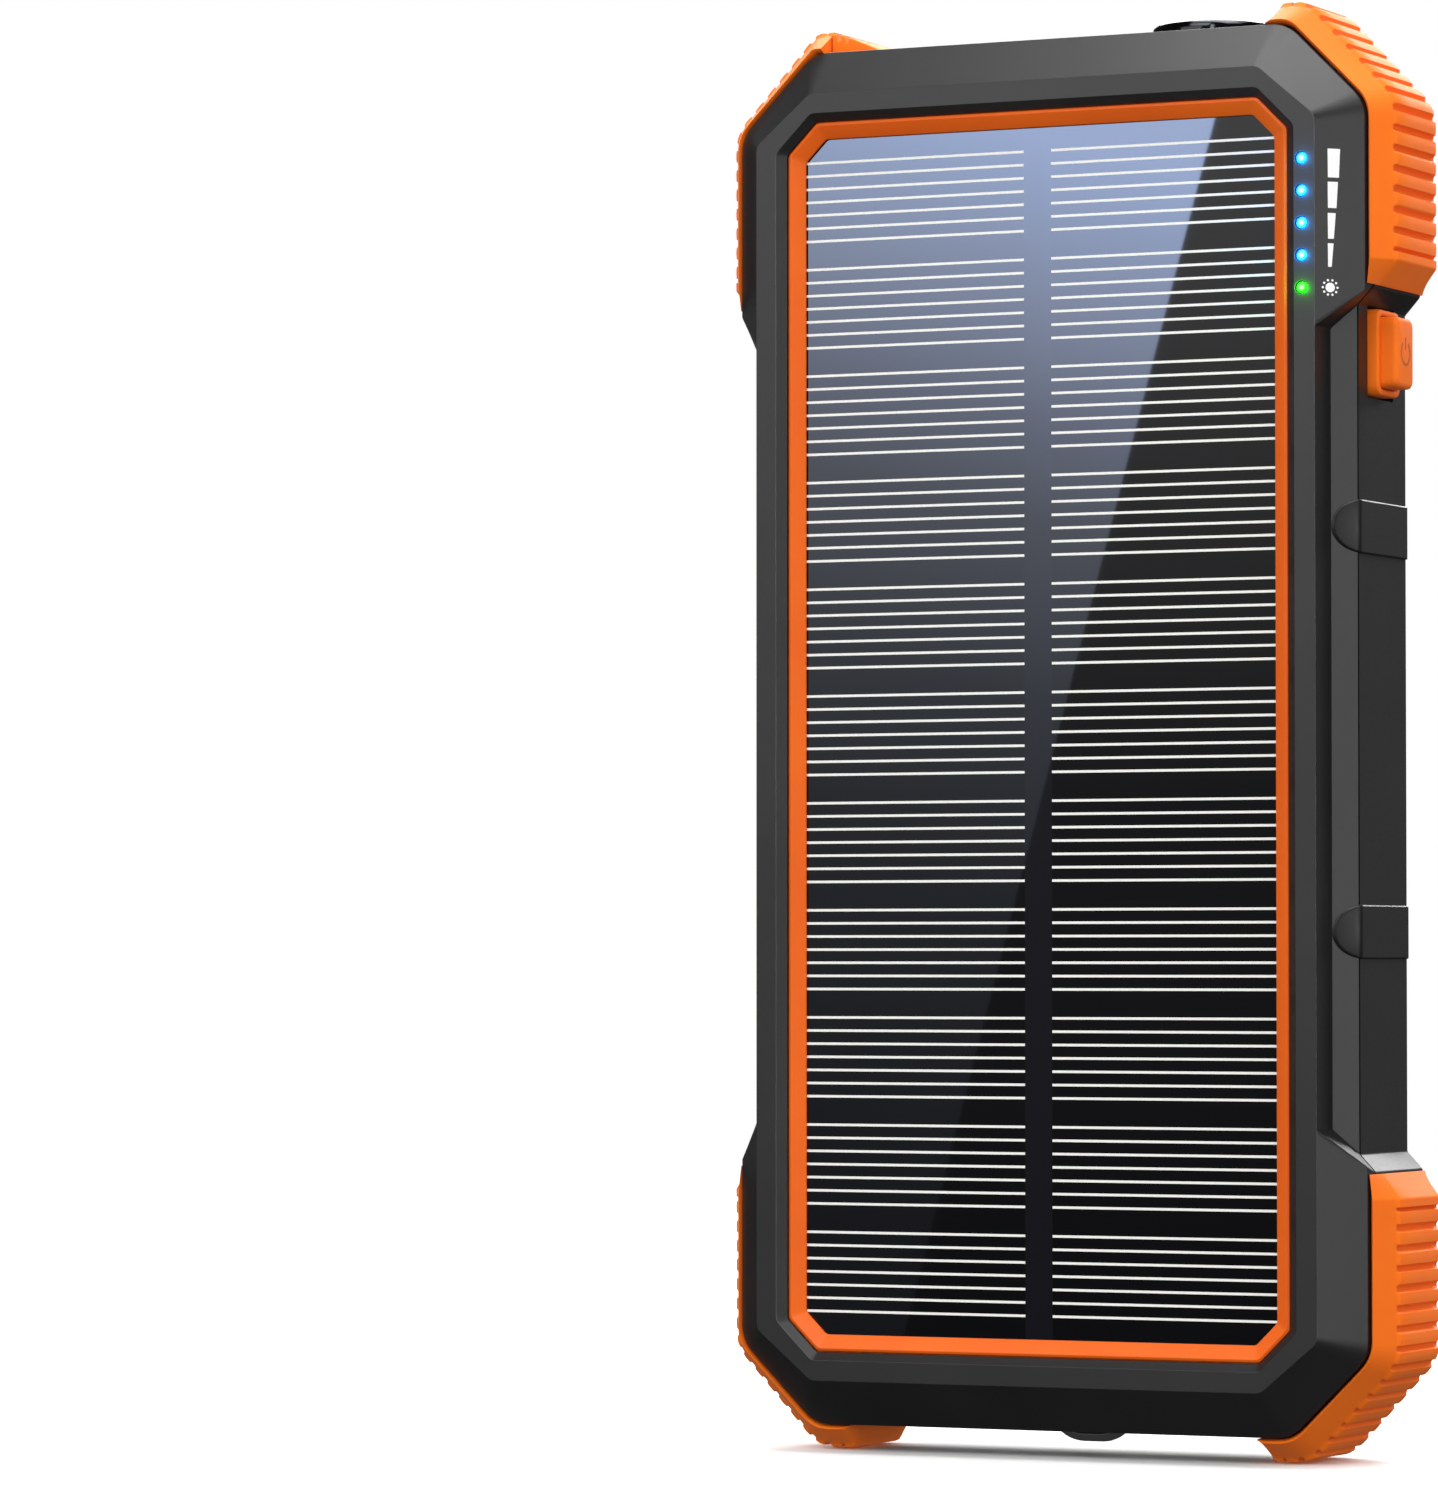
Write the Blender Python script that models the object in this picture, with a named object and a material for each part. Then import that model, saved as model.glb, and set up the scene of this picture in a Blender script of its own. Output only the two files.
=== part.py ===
"""Rugged solar phone charger: a pocket power bank with a solar panel on its front.

Frame: +Z up along the long side, flashlight end on top, panel facing -Y, power button on +X.
The origin is the middle of the bottom of the bounding box. Lengths below are in millimetres
and heights (z) are measured from the middle of the case; to_world() turns them into metres.
"""
import math

import bmesh
import bpy

MM = 0.001
GAP = 0.3                                   # clearance between neighbouring pieces

# ---- overall size --------------------------------------------------------------------
HALF_WIDTH = 40.2                           # over the corner bumpers
HALF_HEIGHT = 80.0
HALF_DEPTH = 13.25                          # crest of the bezel to the back face

# ---- case outline: (half width, half height, corner cut across, corner cut up) --------
CREST = (33.65, 72.1, 6.7, 5.65)            # front edge of the bezel
CASE = (37.7, 77.2, 9.1, 9.1)               # widest outline
BACK_RIM = (33.0, 71.7, 7.0, 7.2)           # edge of the back face
SIDE_X = 35.9                               # flat side between the bumpers
WAIST_IN = 43.8                             # where the slimmer side starts
WAIST_OUT = 47.5
FRONT_SLOPE_Y = -8.6                        # outer edge of the sloping front border
SPLIT_Y = -6.15                             # plane between the two shells
CHAMFER_Y = 8.3                             # where the back chamfer starts

# ---- panel opening ---------------------------------------------------------------------
BEZEL_IN = (31.15, 69.6, 4.3, 4.3)
WINDOW = (29.9, 68.6, 3.5, 3.5)
VISIBLE = (28.3, 67.0, 2.5, 2.5)
POCKET = (31.0, 69.5, 3.6, 3.6)
LIP_Y = -12.1
WINDOW_Y = -12.4
PANEL_Y = -11.15                            # front of the clear cover

# ---- screws ------------------------------------------------------------------------------
SCREW_X = 33.4
CORNER_SCREW_Z = 65.0
SIDE_SCREW_Z = 22.1
RING_END_SCREW = (0.0, -73.4)
PORT_END_SCREW = (4.5, 72.6)
WELL_R = 2.5
WELL_FLOOR_Y = 8.6
BORE_R = 1.2
SCREW_TIP_Y = -8.2

# ---- back face relief ------------------------------------------------------------------
FIELD_DEPTH = 1.2
GRIP_DEPTH = 0.7
PANEL_DEPTH = 1.25
PAD_R = 19.2
RELIEF_R = 25.2
CEILING_Y = 10.0

# ---- top end ---------------------------------------------------------------------------
END_Z = 77.1                                # outer face of the port flap and lamp plate
END_FLOOR_Z = 74.5
FLAP_X = (-27.7, 5.6)
FLAP_RAMP_X = -20.5
FLAP_HINGE_Z = 79.75
PLATE_X = (5.9, 25.7)
LAMP = (16.0, 1.3)                          # centre of the flashlight, (x, y)
LAMP_R = 7.0

# ---- side and end fittings ---------------------------------------------------------------
BUTTON = (0.6, 41.4)                        # centre of the power button, (y, z)
BUTTON_CAP = (5.3, 7.8)
BUTTON_RIM = (7.2, 9.5)
BUTTON_OUT_X = 38.9
COMPASS = (0.5, 35.0)                       # centre of the compass, (y, z)
COMPASS_R = 6.6
RING_Y = 4.0
RING_HALF = 4.7
WIRE_R = 0.8
POST_R = 2.2                                # post that keeps the ring from pulling out
RING_TRAVEL = 9.0
LED_X = 32.05
LED_TOP_Z = 61.9
LED_PITCH = 3.52
REAR_LED = ((-1.1, 57.5), (-1.1, 59.4), (-1.1, 61.3))

COLOURS = {
    "case": ((0.045, 0.045, 0.048), 0.45, 0.0),
    "orange": ((1.0, 0.21, 0.02), 0.55, 0.0),
    "panel": ((0.01, 0.012, 0.02), 0.2, 0.0),
    "clear": ((0.75, 0.8, 0.85), 0.05, 0.0),
    "chrome": ((0.8, 0.8, 0.82), 0.12, 1.0),
    "steel": ((0.55, 0.55, 0.57), 0.3, 1.0),
    "board": ((0.02, 0.16, 0.07), 0.5, 0.0),
    "foil": ((0.5, 0.52, 0.55), 0.35, 0.6),
    "foam": ((0.08, 0.08, 0.09), 0.95, 0.0),
    "copper": ((0.8, 0.33, 0.13), 0.3, 1.0),
    "ferrite": ((0.07, 0.07, 0.08), 0.8, 0.0),
    "dial": ((0.03, 0.03, 0.03), 0.4, 0.0),
}


# ---- small tools ---------------------------------------------------------------------------

def to_world(point):
    """Millimetres about the middle of the case, as metres above its base."""
    return (point[0] * MM, point[1] * MM, (point[2] + HALF_HEIGHT) * MM)


def material(name):
    existing = bpy.data.materials.get(name)
    if existing:
        return existing
    colour, roughness, metallic = COLOURS[name.split("-")[0]]
    made = bpy.data.materials.new(name)
    made.use_nodes = True
    shader = made.node_tree.nodes["Principled BSDF"]
    shader.inputs["Base Color"].default_value = (*colour, 1.0)
    shader.inputs["Roughness"].default_value = roughness
    shader.inputs["Metallic"].default_value = metallic
    made.diffuse_color = (*colour, 1.0)
    return made


def octagon(size, y, grow=0.0):
    """Eight-sided ring at depth y, counted clockwise from the top right, grown by an offset."""
    half_x, half_z, cut_x, cut_z = size
    half_x += grow
    half_z += grow
    cut_x += grow * 0.586
    cut_z += grow * 0.586
    corner = [(half_x - cut_x, half_z), (half_x, half_z - cut_z)]
    lower = [(x, -z) for x, z in reversed(corner)]
    right = corner + lower
    left = [(-x, z) for x, z in reversed(right)]
    return [(x, y, z) for x, z in right + left]


def waisted(size, y, waist_x, z_in=WAIST_IN, z_out=WAIST_OUT):
    """The octagon with its long sides drawn in to waist_x between the bumpers."""
    half_x, half_z, cut_x, cut_z = size
    upper = [(half_x - cut_x, half_z), (half_x, half_z - cut_z), (half_x, z_out), (waist_x, z_in)]
    right = upper + [(x, -z) for x, z in reversed(upper)]
    left = [(-x, z) for x, z in reversed(right)]
    return [(x, y, z) for x, z in right + left]


def add_loft(bm, rings, closed=False):
    """Skin a row of rings with the same number of points; closed joins the last to the first."""
    rows = [[bm.verts.new(to_world(p)) for p in ring] for ring in rings]
    pairs = list(zip(rows, rows[1:]))
    if closed:
        pairs.append((rows[-1], rows[0]))
    for low, high in pairs:
        for i in range(len(low)):
            j = (i + 1) % len(low)
            bm.faces.new((low[i], low[j], high[j], high[i]))
    if not closed:
        bm.faces.new(rows[0])
        bm.faces.new(rows[-1])


def along(axis, a, b, depth):
    """Place a flat point (a, b) on the plane across an axis."""
    return {"X": (depth, a, b), "Y": (a, depth, b), "Z": (a, b, depth)}[axis]


def add_prism(bm, outline, axis, low, high):
    add_loft(bm, [[along(axis, a, b, d) for a, b in outline] for d in (low, high)])


def add_box(bm, xs, ys, zs):
    add_prism(bm, [(xs[0], ys[0]), (xs[1], ys[0]), (xs[1], ys[1]), (xs[0], ys[1])], "Z", *zs)


def circle(centre, radius, segments):
    turn = 2 * math.pi / segments
    return [(centre[0] + radius * math.cos(i * turn), centre[1] + radius * math.sin(i * turn))
            for i in range(segments)]


def add_rod(bm, centre, radius, axis, low, high, segments=20):
    add_prism(bm, circle(centre, radius, segments), axis, low, high)


def add_turned(bm, centre, axis, profile, segments=28, closed=False):
    """Turn a profile of (radius, depth) points; closed makes a ring instead of a capped body."""
    rings = []
    for radius, depth in profile:
        rings.append([along(axis, a, b, depth) for a, b in circle(centre, radius, segments)])
    add_loft(bm, rings, closed)


def finish(name, bm, material_name, origin=(0.0, 0.0, -HALF_HEIGHT), smooth=False):
    """Turn the mesh into an object whose origin sits at the given point."""
    bmesh.ops.recalc_face_normals(bm, faces=bm.faces)
    place = to_world(origin)
    for vert in bm.verts:
        vert.co.x -= place[0]
        vert.co.y -= place[1]
        vert.co.z -= place[2]
    mesh = bpy.data.meshes.new(name)
    bm.to_mesh(mesh)
    bm.free()
    if smooth:
        mesh.shade_smooth()
        mesh.set_sharp_from_angle(angle=math.radians(40))
    mesh.materials.append(material(material_name))
    made = bpy.data.objects.new(name, mesh)
    made.location = place
    bpy.context.scene.collection.objects.link(made)
    return made


def shape(target, operation, bm):
    """Add the mesh to the target or cut it away, through a Boolean on a hidden guide."""
    guide = finish("guide_" + target.name + "_" + str(len(target.modifiers)), bm, "foam")
    guide.hide_render = True
    guide.display_type = "WIRE"
    step = target.modifiers.new(operation.lower(), "BOOLEAN")
    step.operation = operation
    step.solver = "EXACT"
    step.object = guide


def screw_places():
    sides = [(sx * SCREW_X, sz * z) for z in (CORNER_SCREW_Z, SIDE_SCREW_Z)
             for sx in (-1, 1) for sz in (-1, 1)]
    return sides + [RING_END_SCREW, PORT_END_SCREW]


def side_screw_places():
    return [(sx, sz * SIDE_SCREW_Z) for sx in (-1, 1) for sz in (-1, 1)]


# ---- case ------------------------------------------------------------------------------------

def front_shell():
    waist_front = CREST[0]
    bm = bmesh.new()
    add_loft(bm, [
        waisted(CREST, -HALF_DEPTH, waist_front, WAIST_IN, WAIST_IN + 0.4),
        waisted(CASE, FRONT_SLOPE_Y, waist_front),
        waisted(CASE, SPLIT_Y - GAP / 2, SIDE_X),
        waisted((31.6, 70.6, 6.0, 6.0), SPLIT_Y - GAP / 2, 31.6),
        waisted(POCKET, -8.6, POCKET[0]),
        waisted(POCKET, LIP_Y, POCKET[0]),
        waisted(WINDOW, LIP_Y, WINDOW[0]),
        waisted(WINDOW, WINDOW_Y, WINDOW[0]),
        waisted(BEZEL_IN, -HALF_DEPTH, BEZEL_IN[0], WAIST_IN, WAIST_IN + 0.4),
    ], closed=True)
    shell = finish("front_shell", bm, "case")
    tongues = bmesh.new()
    for side, z in side_screw_places():
        xs = sorted((side * 33.0, side * (SIDE_X + 0.2)))
        add_box(tongues, xs, (-8.7, SPLIT_Y - GAP / 2 - 0.05), (z - 2.95, z + 2.95))
    shape(shell, "UNION", tongues)
    bores = bmesh.new()
    for x, z in screw_places():
        add_rod(bores, (x, z), BORE_R, "Y", SCREW_TIP_Y - 0.4, -5.0, 12)
    shape(shell, "DIFFERENCE", bores)
    slot = bmesh.new()
    last = LED_TOP_Z - 4 * LED_PITCH
    add_box(slot, (30.5, 32.8), (-11.9, -5.0), (last - 1.5, LED_TOP_Z + 1.5))
    shape(shell, "DIFFERENCE", slot)
    holes = bmesh.new()
    for i in range(5):
        add_rod(holes, (LED_X, LED_TOP_Z - i * LED_PITCH), 0.75, "Y", -14.0, -11.0, 10)
    shape(shell, "DIFFERENCE", holes)


def pocket_outline():
    """Side view (y, z) of the recess in the top end that the flap and lamp plate fill."""
    return [(SPLIT_Y - 0.6, 84.0), (SPLIT_Y - 0.6, END_FLOOR_Z), (8.0, END_FLOOR_Z),
            (9.65, 72.7), (14.2, 76.7), (14.2, 84.0)]


def relief_arc(start, end, steps=10):
    """Points on the circle round the charging pad, from one angle to another."""
    return [(RELIEF_R * math.cos(start + (end - start) * i / steps),
             RELIEF_R * math.sin(start + (end - start) * i / steps)) for i in range(steps + 1)]


def side_field():
    """Smooth hollow beside the charging pad, on the +X side."""
    reach = math.atan2(20.2, 15.0)
    return [(28.9, -37.0), (28.9, 37.0)] + relief_arc(reach, -reach)


def grip_field():
    """Knurled hollow between the charging pad and the end panel, on the +Z side."""
    right = [(31.0, 43.5), (31.0, 62.5), (25.6, 69.2), (16.9, 48.3), (14.0, 43.2)]
    left = [(-x, z) for x, z in reversed(right)]
    reach = math.atan2(22.0, 12.4)
    return right + left + list(relief_arc(math.pi - reach, reach))


def end_field():
    """Smooth end panel, open towards the end of the case, on the +Z side."""
    right = [(22.4, 75.0), (15.2, 50.8), (12.6, 49.0)]
    return right + [(-x, z) for x, z in reversed(right)]


def back_shell():
    bm = bmesh.new()
    inner = (33.4, 73.2, 7.5, 7.5)
    add_loft(bm, [
        waisted((31.0, 69.0, 6.5, 6.5), CEILING_Y, 31.0),
        waisted(inner, 6.5, inner[0]),
        waisted(inner, SPLIT_Y + GAP / 2, inner[0]),
        waisted(CASE, SPLIT_Y + GAP / 2, SIDE_X),
        waisted(CASE, CHAMFER_Y, SIDE_X),
        waisted(BACK_RIM, HALF_DEPTH, BACK_RIM[0], WAIST_IN, WAIST_OUT),
    ])
    shell = finish("back_shell", bm, "case")
    towers = bmesh.new()
    for x, z in screw_places()[:8]:
        side = math.copysign(1.0, x)
        add_box(towers, sorted((side * 30.3, side * 35.4)), (-5.9, 10.6), (z - 3.3, z + 3.3))
    x, z = PORT_END_SCREW
    add_box(towers, (x - 3.2, x + 3.2), (-5.9, 10.6), (z - 3.2, z + 1.2))
    x, z = RING_END_SCREW
    add_box(towers, (x - 3.3, x + 3.3), (6.4, 10.6), (z - 2.2, z + 3.4))
    shape(shell, "UNION", towers)
    slot = bmesh.new()
    ring_x = RING_HALF + WIRE_R + 0.4
    add_box(slot, (-ring_x, ring_x), (RING_Y - 1.2, RING_Y + 1.2), (-80.0, -72.5))
    shape(shell, "DIFFERENCE", slot)
    post = bmesh.new()
    add_rod(post, RING_END_SCREW, POST_R, "Y", -5.9, 7.0, 16)
    shape(shell, "UNION", post)
    tongues = bmesh.new()
    for side, z in side_screw_places():
        xs = sorted((side * 34.6, side * (SIDE_X + 0.2)))
        add_box(tongues, xs, (-5.9, 8.0), (z - 2.95, z + 2.95))
    shape(shell, "UNION", tongues)
    wells = bmesh.new()
    bores = bmesh.new()
    for place in screw_places():
        add_rod(wells, place, WELL_R, "Y", WELL_FLOOR_Y, 14.5, 16)
        add_rod(bores, place, BORE_R, "Y", -7.5, 9.0, 12)
    relief = bmesh.new()
    for mirror in (-1, 1):
        field = [(mirror * x, z) for x, z in side_field()]
        add_prism(relief, field, "Y", HALF_DEPTH - FIELD_DEPTH, 14.5)
        grip = [(x, mirror * z) for x, z in grip_field()]
        add_prism(relief, grip, "Y", HALF_DEPTH - GRIP_DEPTH, 14.5)
        panel = [(x, mirror * z) for x, z in end_field()]
        add_prism(relief, panel, "Y", HALF_DEPTH - PANEL_DEPTH, 14.5)
    shape(shell, "DIFFERENCE", relief)
    shape(shell, "DIFFERENCE", wells)
    shape(shell, "DIFFERENCE", bores)
    pad = bmesh.new()
    add_rod(pad, (0, 0), PAD_R + GAP, "Y", 12.0, 14.5, 40)
    groove = [(23.0, 12.7), (24.6, 12.7), (24.6, 14.5), (23.0, 14.5)]
    add_turned(pad, (0, 0), "Y", groove, 40, closed=True)
    shape(shell, "DIFFERENCE", pad)
    pocket = bmesh.new()
    add_prism(pocket, pocket_outline(), "X", FLAP_X[0] - GAP, PLATE_X[1] + GAP)
    shape(shell, "DIFFERENCE", pocket)
    openings = bmesh.new()
    for x, width, y_low, y_high in sockets().values():
        add_box(openings, (x - width / 2 - GAP, x + width / 2 + GAP),
                (y_low - GAP, y_high + GAP), (67.0, 76.0))
    add_rod(openings, LAMP, 6.6, "Z", 64.0, 76.0, 28)
    y, z = BUTTON
    add_box(openings, (31.0, 40.0), (y - 3.9, y + 3.9), (z - 5.05, z + 5.05))
    add_rod(openings, COMPASS, COMPASS_R + GAP, "X", -40.0, -31.0, 28)
    for x, z in REAR_LED:
        add_box(openings, (x - 1.2, x + 1.2), (9.0, 14.0), (z - 0.75, z + 0.75))
    shape(shell, "DIFFERENCE", openings)


def ring_loft(bm, sections):
    """A frame whose cross-section is a list of (outline, grow, depth)."""
    add_loft(bm, [octagon(size, y, grow) for size, grow, y in sections], closed=True)


def panel_pieces():
    bm = bmesh.new()
    ring_loft(bm, [(WINDOW, -GAP, WINDOW_Y), (VISIBLE, 0.0, -11.6), (VISIBLE, 0.0, -11.45),
                   (POCKET, -GAP, -11.45), (POCKET, -GAP, -11.8), (WINDOW, -GAP, -11.8)])
    finish("panel_frame", bm, "orange")
    for name, front, back, colour in (("panel_cover", PANEL_Y, -10.5, "clear"),
                                      ("solar_panel", -10.2, -9.0, "panel")):
        bm = bmesh.new()
        add_loft(bm, [octagon(POCKET, front, -GAP), octagon(POCKET, back, -GAP)])
        finish(name, bm, colour)


def bumper(name, side, up, end_x, end_slope):
    """Corner guard: an L round one corner of the case, with its ends tapered."""
    out_x, out_z = HALF_WIDTH, HALF_HEIGHT
    in_x, in_z = CASE[0] + GAP, CASE[1] + GAP
    outer = [(in_x, WAIST_OUT + 0.8), (out_x, WAIST_OUT + 3.6), (out_x, 69.0),
             (29.9, out_z), (end_x + end_slope, out_z), (end_x, in_z)]
    inner = [(28.7, in_z), (in_x, 68.2)]
    if end_slope < 0.5:
        outer[-2] = (end_x, out_z)          # a square end, where the flap carries the surface on

    def ring(y, shrink):
        points = []
        for x, z in outer:
            points.append((max(min(x, out_x - shrink), min(x, in_x)),
                           max(min(z, out_z - shrink), min(z, in_z))))
        return [(side * x, y, up * z) for x, z in points + inner]

    bm = bmesh.new()
    add_loft(bm, [ring(FRONT_SLOPE_Y + 0.4, 1.9), ring(-5.2, 0.0), ring(7.0, 0.0),
                  ring(CHAMFER_Y, 1.0)])
    finish(name, bm, "orange")


def bumpers():
    bumper("bumper_top_left", -1, 1, -FLAP_X[0] + GAP, 0.0)
    bumper("bumper_top_right", 1, 1, PLATE_X[1] + GAP, 1.0)
    bumper("bumper_bottom_left", -1, -1, 24.6, 1.0)
    bumper("bumper_bottom_right", 1, -1, 24.6, 1.0)


def well_notch(target):
    """Clear the flap and the lamp plate away from the end screw's well."""
    bm = bmesh.new()
    add_rod(bm, PORT_END_SCREW, WELL_R + GAP, "Y", 5.5, 16.0, 20)
    shape(target, "DIFFERENCE", bm)


def end_section(top):
    """Side view (y, z) of the flap or the lamp plate, wrapping on to the back chamfer."""
    return [(-5.7, top), (8.3, top), (10.9, 74.25), (9.75, 73.2), (8.2, 74.85), (-5.7, 74.85)]


def port_flap():
    """Rubber cover over the sockets; its origin is on the living hinge's axis."""
    bm = bmesh.new()
    stations = ((FLAP_X[0], FLAP_HINGE_Z), (FLAP_RAMP_X, END_Z), (FLAP_X[1], END_Z))
    add_loft(bm, [[(x, y, z) for y, z in end_section(top)] for x, top in stations])
    flap = finish("port_flap", bm, "orange", (FLAP_X[0], 0.0, FLAP_HINGE_Z))
    well_notch(flap)


# ---- flashlight --------------------------------------------------------------------------------

def lamp_screw_places():
    return [(LAMP[0] + sx * 8.0, LAMP[1] + sy * 5.6) for sx in (-1, 1) for sy in (-1, 1)]


def flashlight():
    bm = bmesh.new()
    add_prism(bm, end_section(END_Z), "X", *PLATE_X)
    plate = finish("flashlight_plate", bm, "case")
    well_notch(plate)
    holes = bmesh.new()
    add_rod(holes, LAMP, 6.6, "Z", 73.0, 79.0, 28)
    shape(plate, "DIFFERENCE", holes)
    seats = bmesh.new()
    for place in lamp_screw_places():
        add_rod(seats, place, 1.35, "Z", 76.3, 79.0, 12)
    shape(plate, "DIFFERENCE", seats)
    bm = bmesh.new()
    add_turned(bm, LAMP, "Z", [(6.3, 70.0), (6.3, 77.4), (LAMP_R, 77.4), (LAMP_R - 0.1, 78.3),
                               (LAMP_R - 0.5, 78.7), (6.1, 78.7), (6.1, 77.7), (5.9, 77.7),
                               (5.9, 70.0)], closed=True)
    finish("flashlight_bezel", bm, "chrome", smooth=True)
    bm = bmesh.new()
    add_turned(bm, LAMP, "Z", [(5.6, 77.3), (5.6, 76.9), (3.4, 71.9), (2.0, 70.3),
                               (1.7, 70.7), (3.1, 72.3), (5.2, 77.3)], closed=True)
    finish("flashlight_reflector", bm, "chrome", smooth=True)
    bm = bmesh.new()
    add_turned(bm, LAMP, "Z", [(5.8, 78.0), (5.8, 78.3), (3.0, 78.55), (1.0, 78.6)])
    finish("flashlight_lens", bm, "clear", smooth=True)
    bm = bmesh.new()
    add_turned(bm, LAMP, "Z", [(5.5, 68.6), (5.5, 69.6), (1.3, 69.6), (1.3, 70.6), (0.7, 71.1)])
    finish("flashlight_led", bm, "board", smooth=True)
    for number, place in enumerate(lamp_screw_places(), 1):
        bm = bmesh.new()
        add_turned(bm, place, "Z", [(1.05, 76.6), (1.05, 77.1), (0.7, 77.35)], 12)
        finish("lamp_screw_" + str(number), bm, "chrome", smooth=True)


# ---- compass -------------------------------------------------------------------------------------

def compass():
    """Liquid-filled compass set in the -X side; the card turns on its pin about X."""
    bm = bmesh.new()
    add_turned(bm, COMPASS, "X", [(0.3, -31.3), (COMPASS_R, -31.3), (COMPASS_R, -36.4),
                                  (5.9, -36.4), (5.9, -32.3), (0.3, -32.3)], closed=True)
    finish("compass_housing", bm, "case", smooth=True)
    bm = bmesh.new()
    add_turned(bm, COMPASS, "X", [(0.3, -32.6), (0.8, -32.6), (0.8, -33.3), (0.25, -33.3),
                                  (0.25, -34.4)], 12)
    finish("compass_pin", bm, "steel", smooth=True)
    bm = bmesh.new()
    add_turned(bm, COMPASS, "X", [(0.6, -33.7), (5.4, -33.7), (5.4, -34.2), (0.6, -34.2)],
               closed=True)
    finish("compass_card", bm, "dial", (-34.0, *COMPASS), smooth=True)
    bm = bmesh.new()
    add_turned(bm, COMPASS, "X", [(5.6, -35.2), (5.6, -36.1), (4.6, -36.3), (2.0, -36.4)])
    finish("compass_lens", bm, "clear", smooth=True)


# ---- button, ring, light pipes ----------------------------------------------------------------------

def power_button():
    y, z = BUTTON
    half_y, half_z = BUTTON_CAP[0] / 2, BUTTON_CAP[1] / 2
    rim_y, rim_z = BUTTON_RIM[0] / 2, BUTTON_RIM[1] / 2
    bm = bmesh.new()
    add_loft(bm, [
        [(x, y - a, z - b), (x, y + a, z - b), (x, y + a, z + b), (x, y - a, z + b)]
        for x, a, b in ((34.0, rim_y, rim_z), (36.6, rim_y, rim_z),
                        (37.0, rim_y - 0.4, rim_z - 0.4),
                        (37.0, half_y + GAP, half_z + GAP), (34.0, half_y + GAP, half_z + GAP))
    ], closed=True)
    finish("button_surround", bm, "orange")
    bm = bmesh.new()
    add_loft(bm, [
        [(x, y - a, z - b), (x, y + a, z - b), (x, y + a, z + b), (x, y - a, z + b)]
        for x, a, b in ((34.2, half_y, half_z), (BUTTON_OUT_X - 0.5, half_y, half_z),
                        (BUTTON_OUT_X, half_y - 0.5, half_z - 0.5))
    ])
    finish("power_button", bm, "orange", (BUTTON_OUT_X, y, z))
    bm = bmesh.new()
    add_box(bm, (30.3, 32.5), (y - 3.75, y - 0.25), (z - 3.0, z + 3.0))
    switch = finish("tact_switch", bm, "steel")
    plunger = bmesh.new()
    add_rod(plunger, (y - 1.5, z), 1.2, "X", 32.0, 33.2, 12)
    shape(switch, "UNION", plunger)


def hanging_ring():
    """Closed wire loop caught round the end screw's post; it pulls out through a slot."""
    low = -HALF_HEIGHT + WIRE_R + 0.9
    post_top = RING_END_SCREW[1] + POST_R
    high = post_top + WIRE_R + GAP + RING_TRAVEL
    bend = 3.6
    corners = ((RING_HALF, high, 0), (-RING_HALF, high, 90), (-RING_HALF, low, 180),
               (RING_HALF, low, 270))
    path = []
    for x, z, start in corners:
        centre_x = x - math.copysign(bend, x)
        centre_z = z - bend if z == high else z + bend
        for i in range(5):
            angle = math.radians(start + 22.5 * i)
            path.append((centre_x + bend * math.cos(angle), centre_z + bend * math.sin(angle)))
    rings = []
    count = len(path)
    for i in range(count):
        before, after = path[i - 1], path[(i + 1) % count]
        tangent = math.atan2(after[1] - before[1], after[0] - before[0])
        outward = (math.sin(tangent), -math.cos(tangent))
        rings.append([(path[i][0] + WIRE_R * math.cos(t) * outward[0],
                       RING_Y + WIRE_R * math.sin(t),
                       path[i][1] + WIRE_R * math.cos(t) * outward[1])
                      for t in (2 * math.pi * k / 8 for k in range(8))])
    bm = bmesh.new()
    add_loft(bm, rings, closed=True)
    finish("hanging_ring", bm, "chrome", (0.0, RING_Y, low), smooth=True)


def light_pipes():
    last = LED_TOP_Z - 4 * LED_PITCH
    bm = bmesh.new()
    add_box(bm, (31.35, 32.5), (-11.6, -9.8), (last - 1.1, LED_TOP_Z + 1.1))
    pipe = finish("front_light_pipe", bm, "clear")
    posts = bmesh.new()
    for i in range(5):
        add_rod(posts, (LED_X - 0.05, LED_TOP_Z - i * LED_PITCH), 0.4, "Y", -13.2, -11.0, 8)
    shape(pipe, "UNION", posts)
    bm = bmesh.new()
    add_box(bm, (-2.6, 0.4), (8.4, 9.5), (REAR_LED[0][1] - 1.0, REAR_LED[-1][1] + 1.0))
    pipe = finish("rear_light_pipe", bm, "clear")
    posts = bmesh.new()
    for x, z in REAR_LED:
        add_box(posts, (x - 0.85, x + 0.85), (9.2, 11.9), (z - 0.42, z + 0.42))
    shape(pipe, "UNION", posts)


# ---- inside --------------------------------------------------------------------------------------------

def sockets():
    """Each socket: centre x, width, and the depth range (y) that its shell fills."""
    return {
        "usb_a_socket_left": (-20.7, 12.9, -5.2, 0.4),
        "usb_a_socket_right": (-6.6, 12.9, -5.2, 0.4),
        "usb_c_socket": (-20.7, 8.9, 2.6, 5.8),
        "micro_usb_socket": (-6.6, 7.6, 2.6, 5.4),
    }


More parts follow.
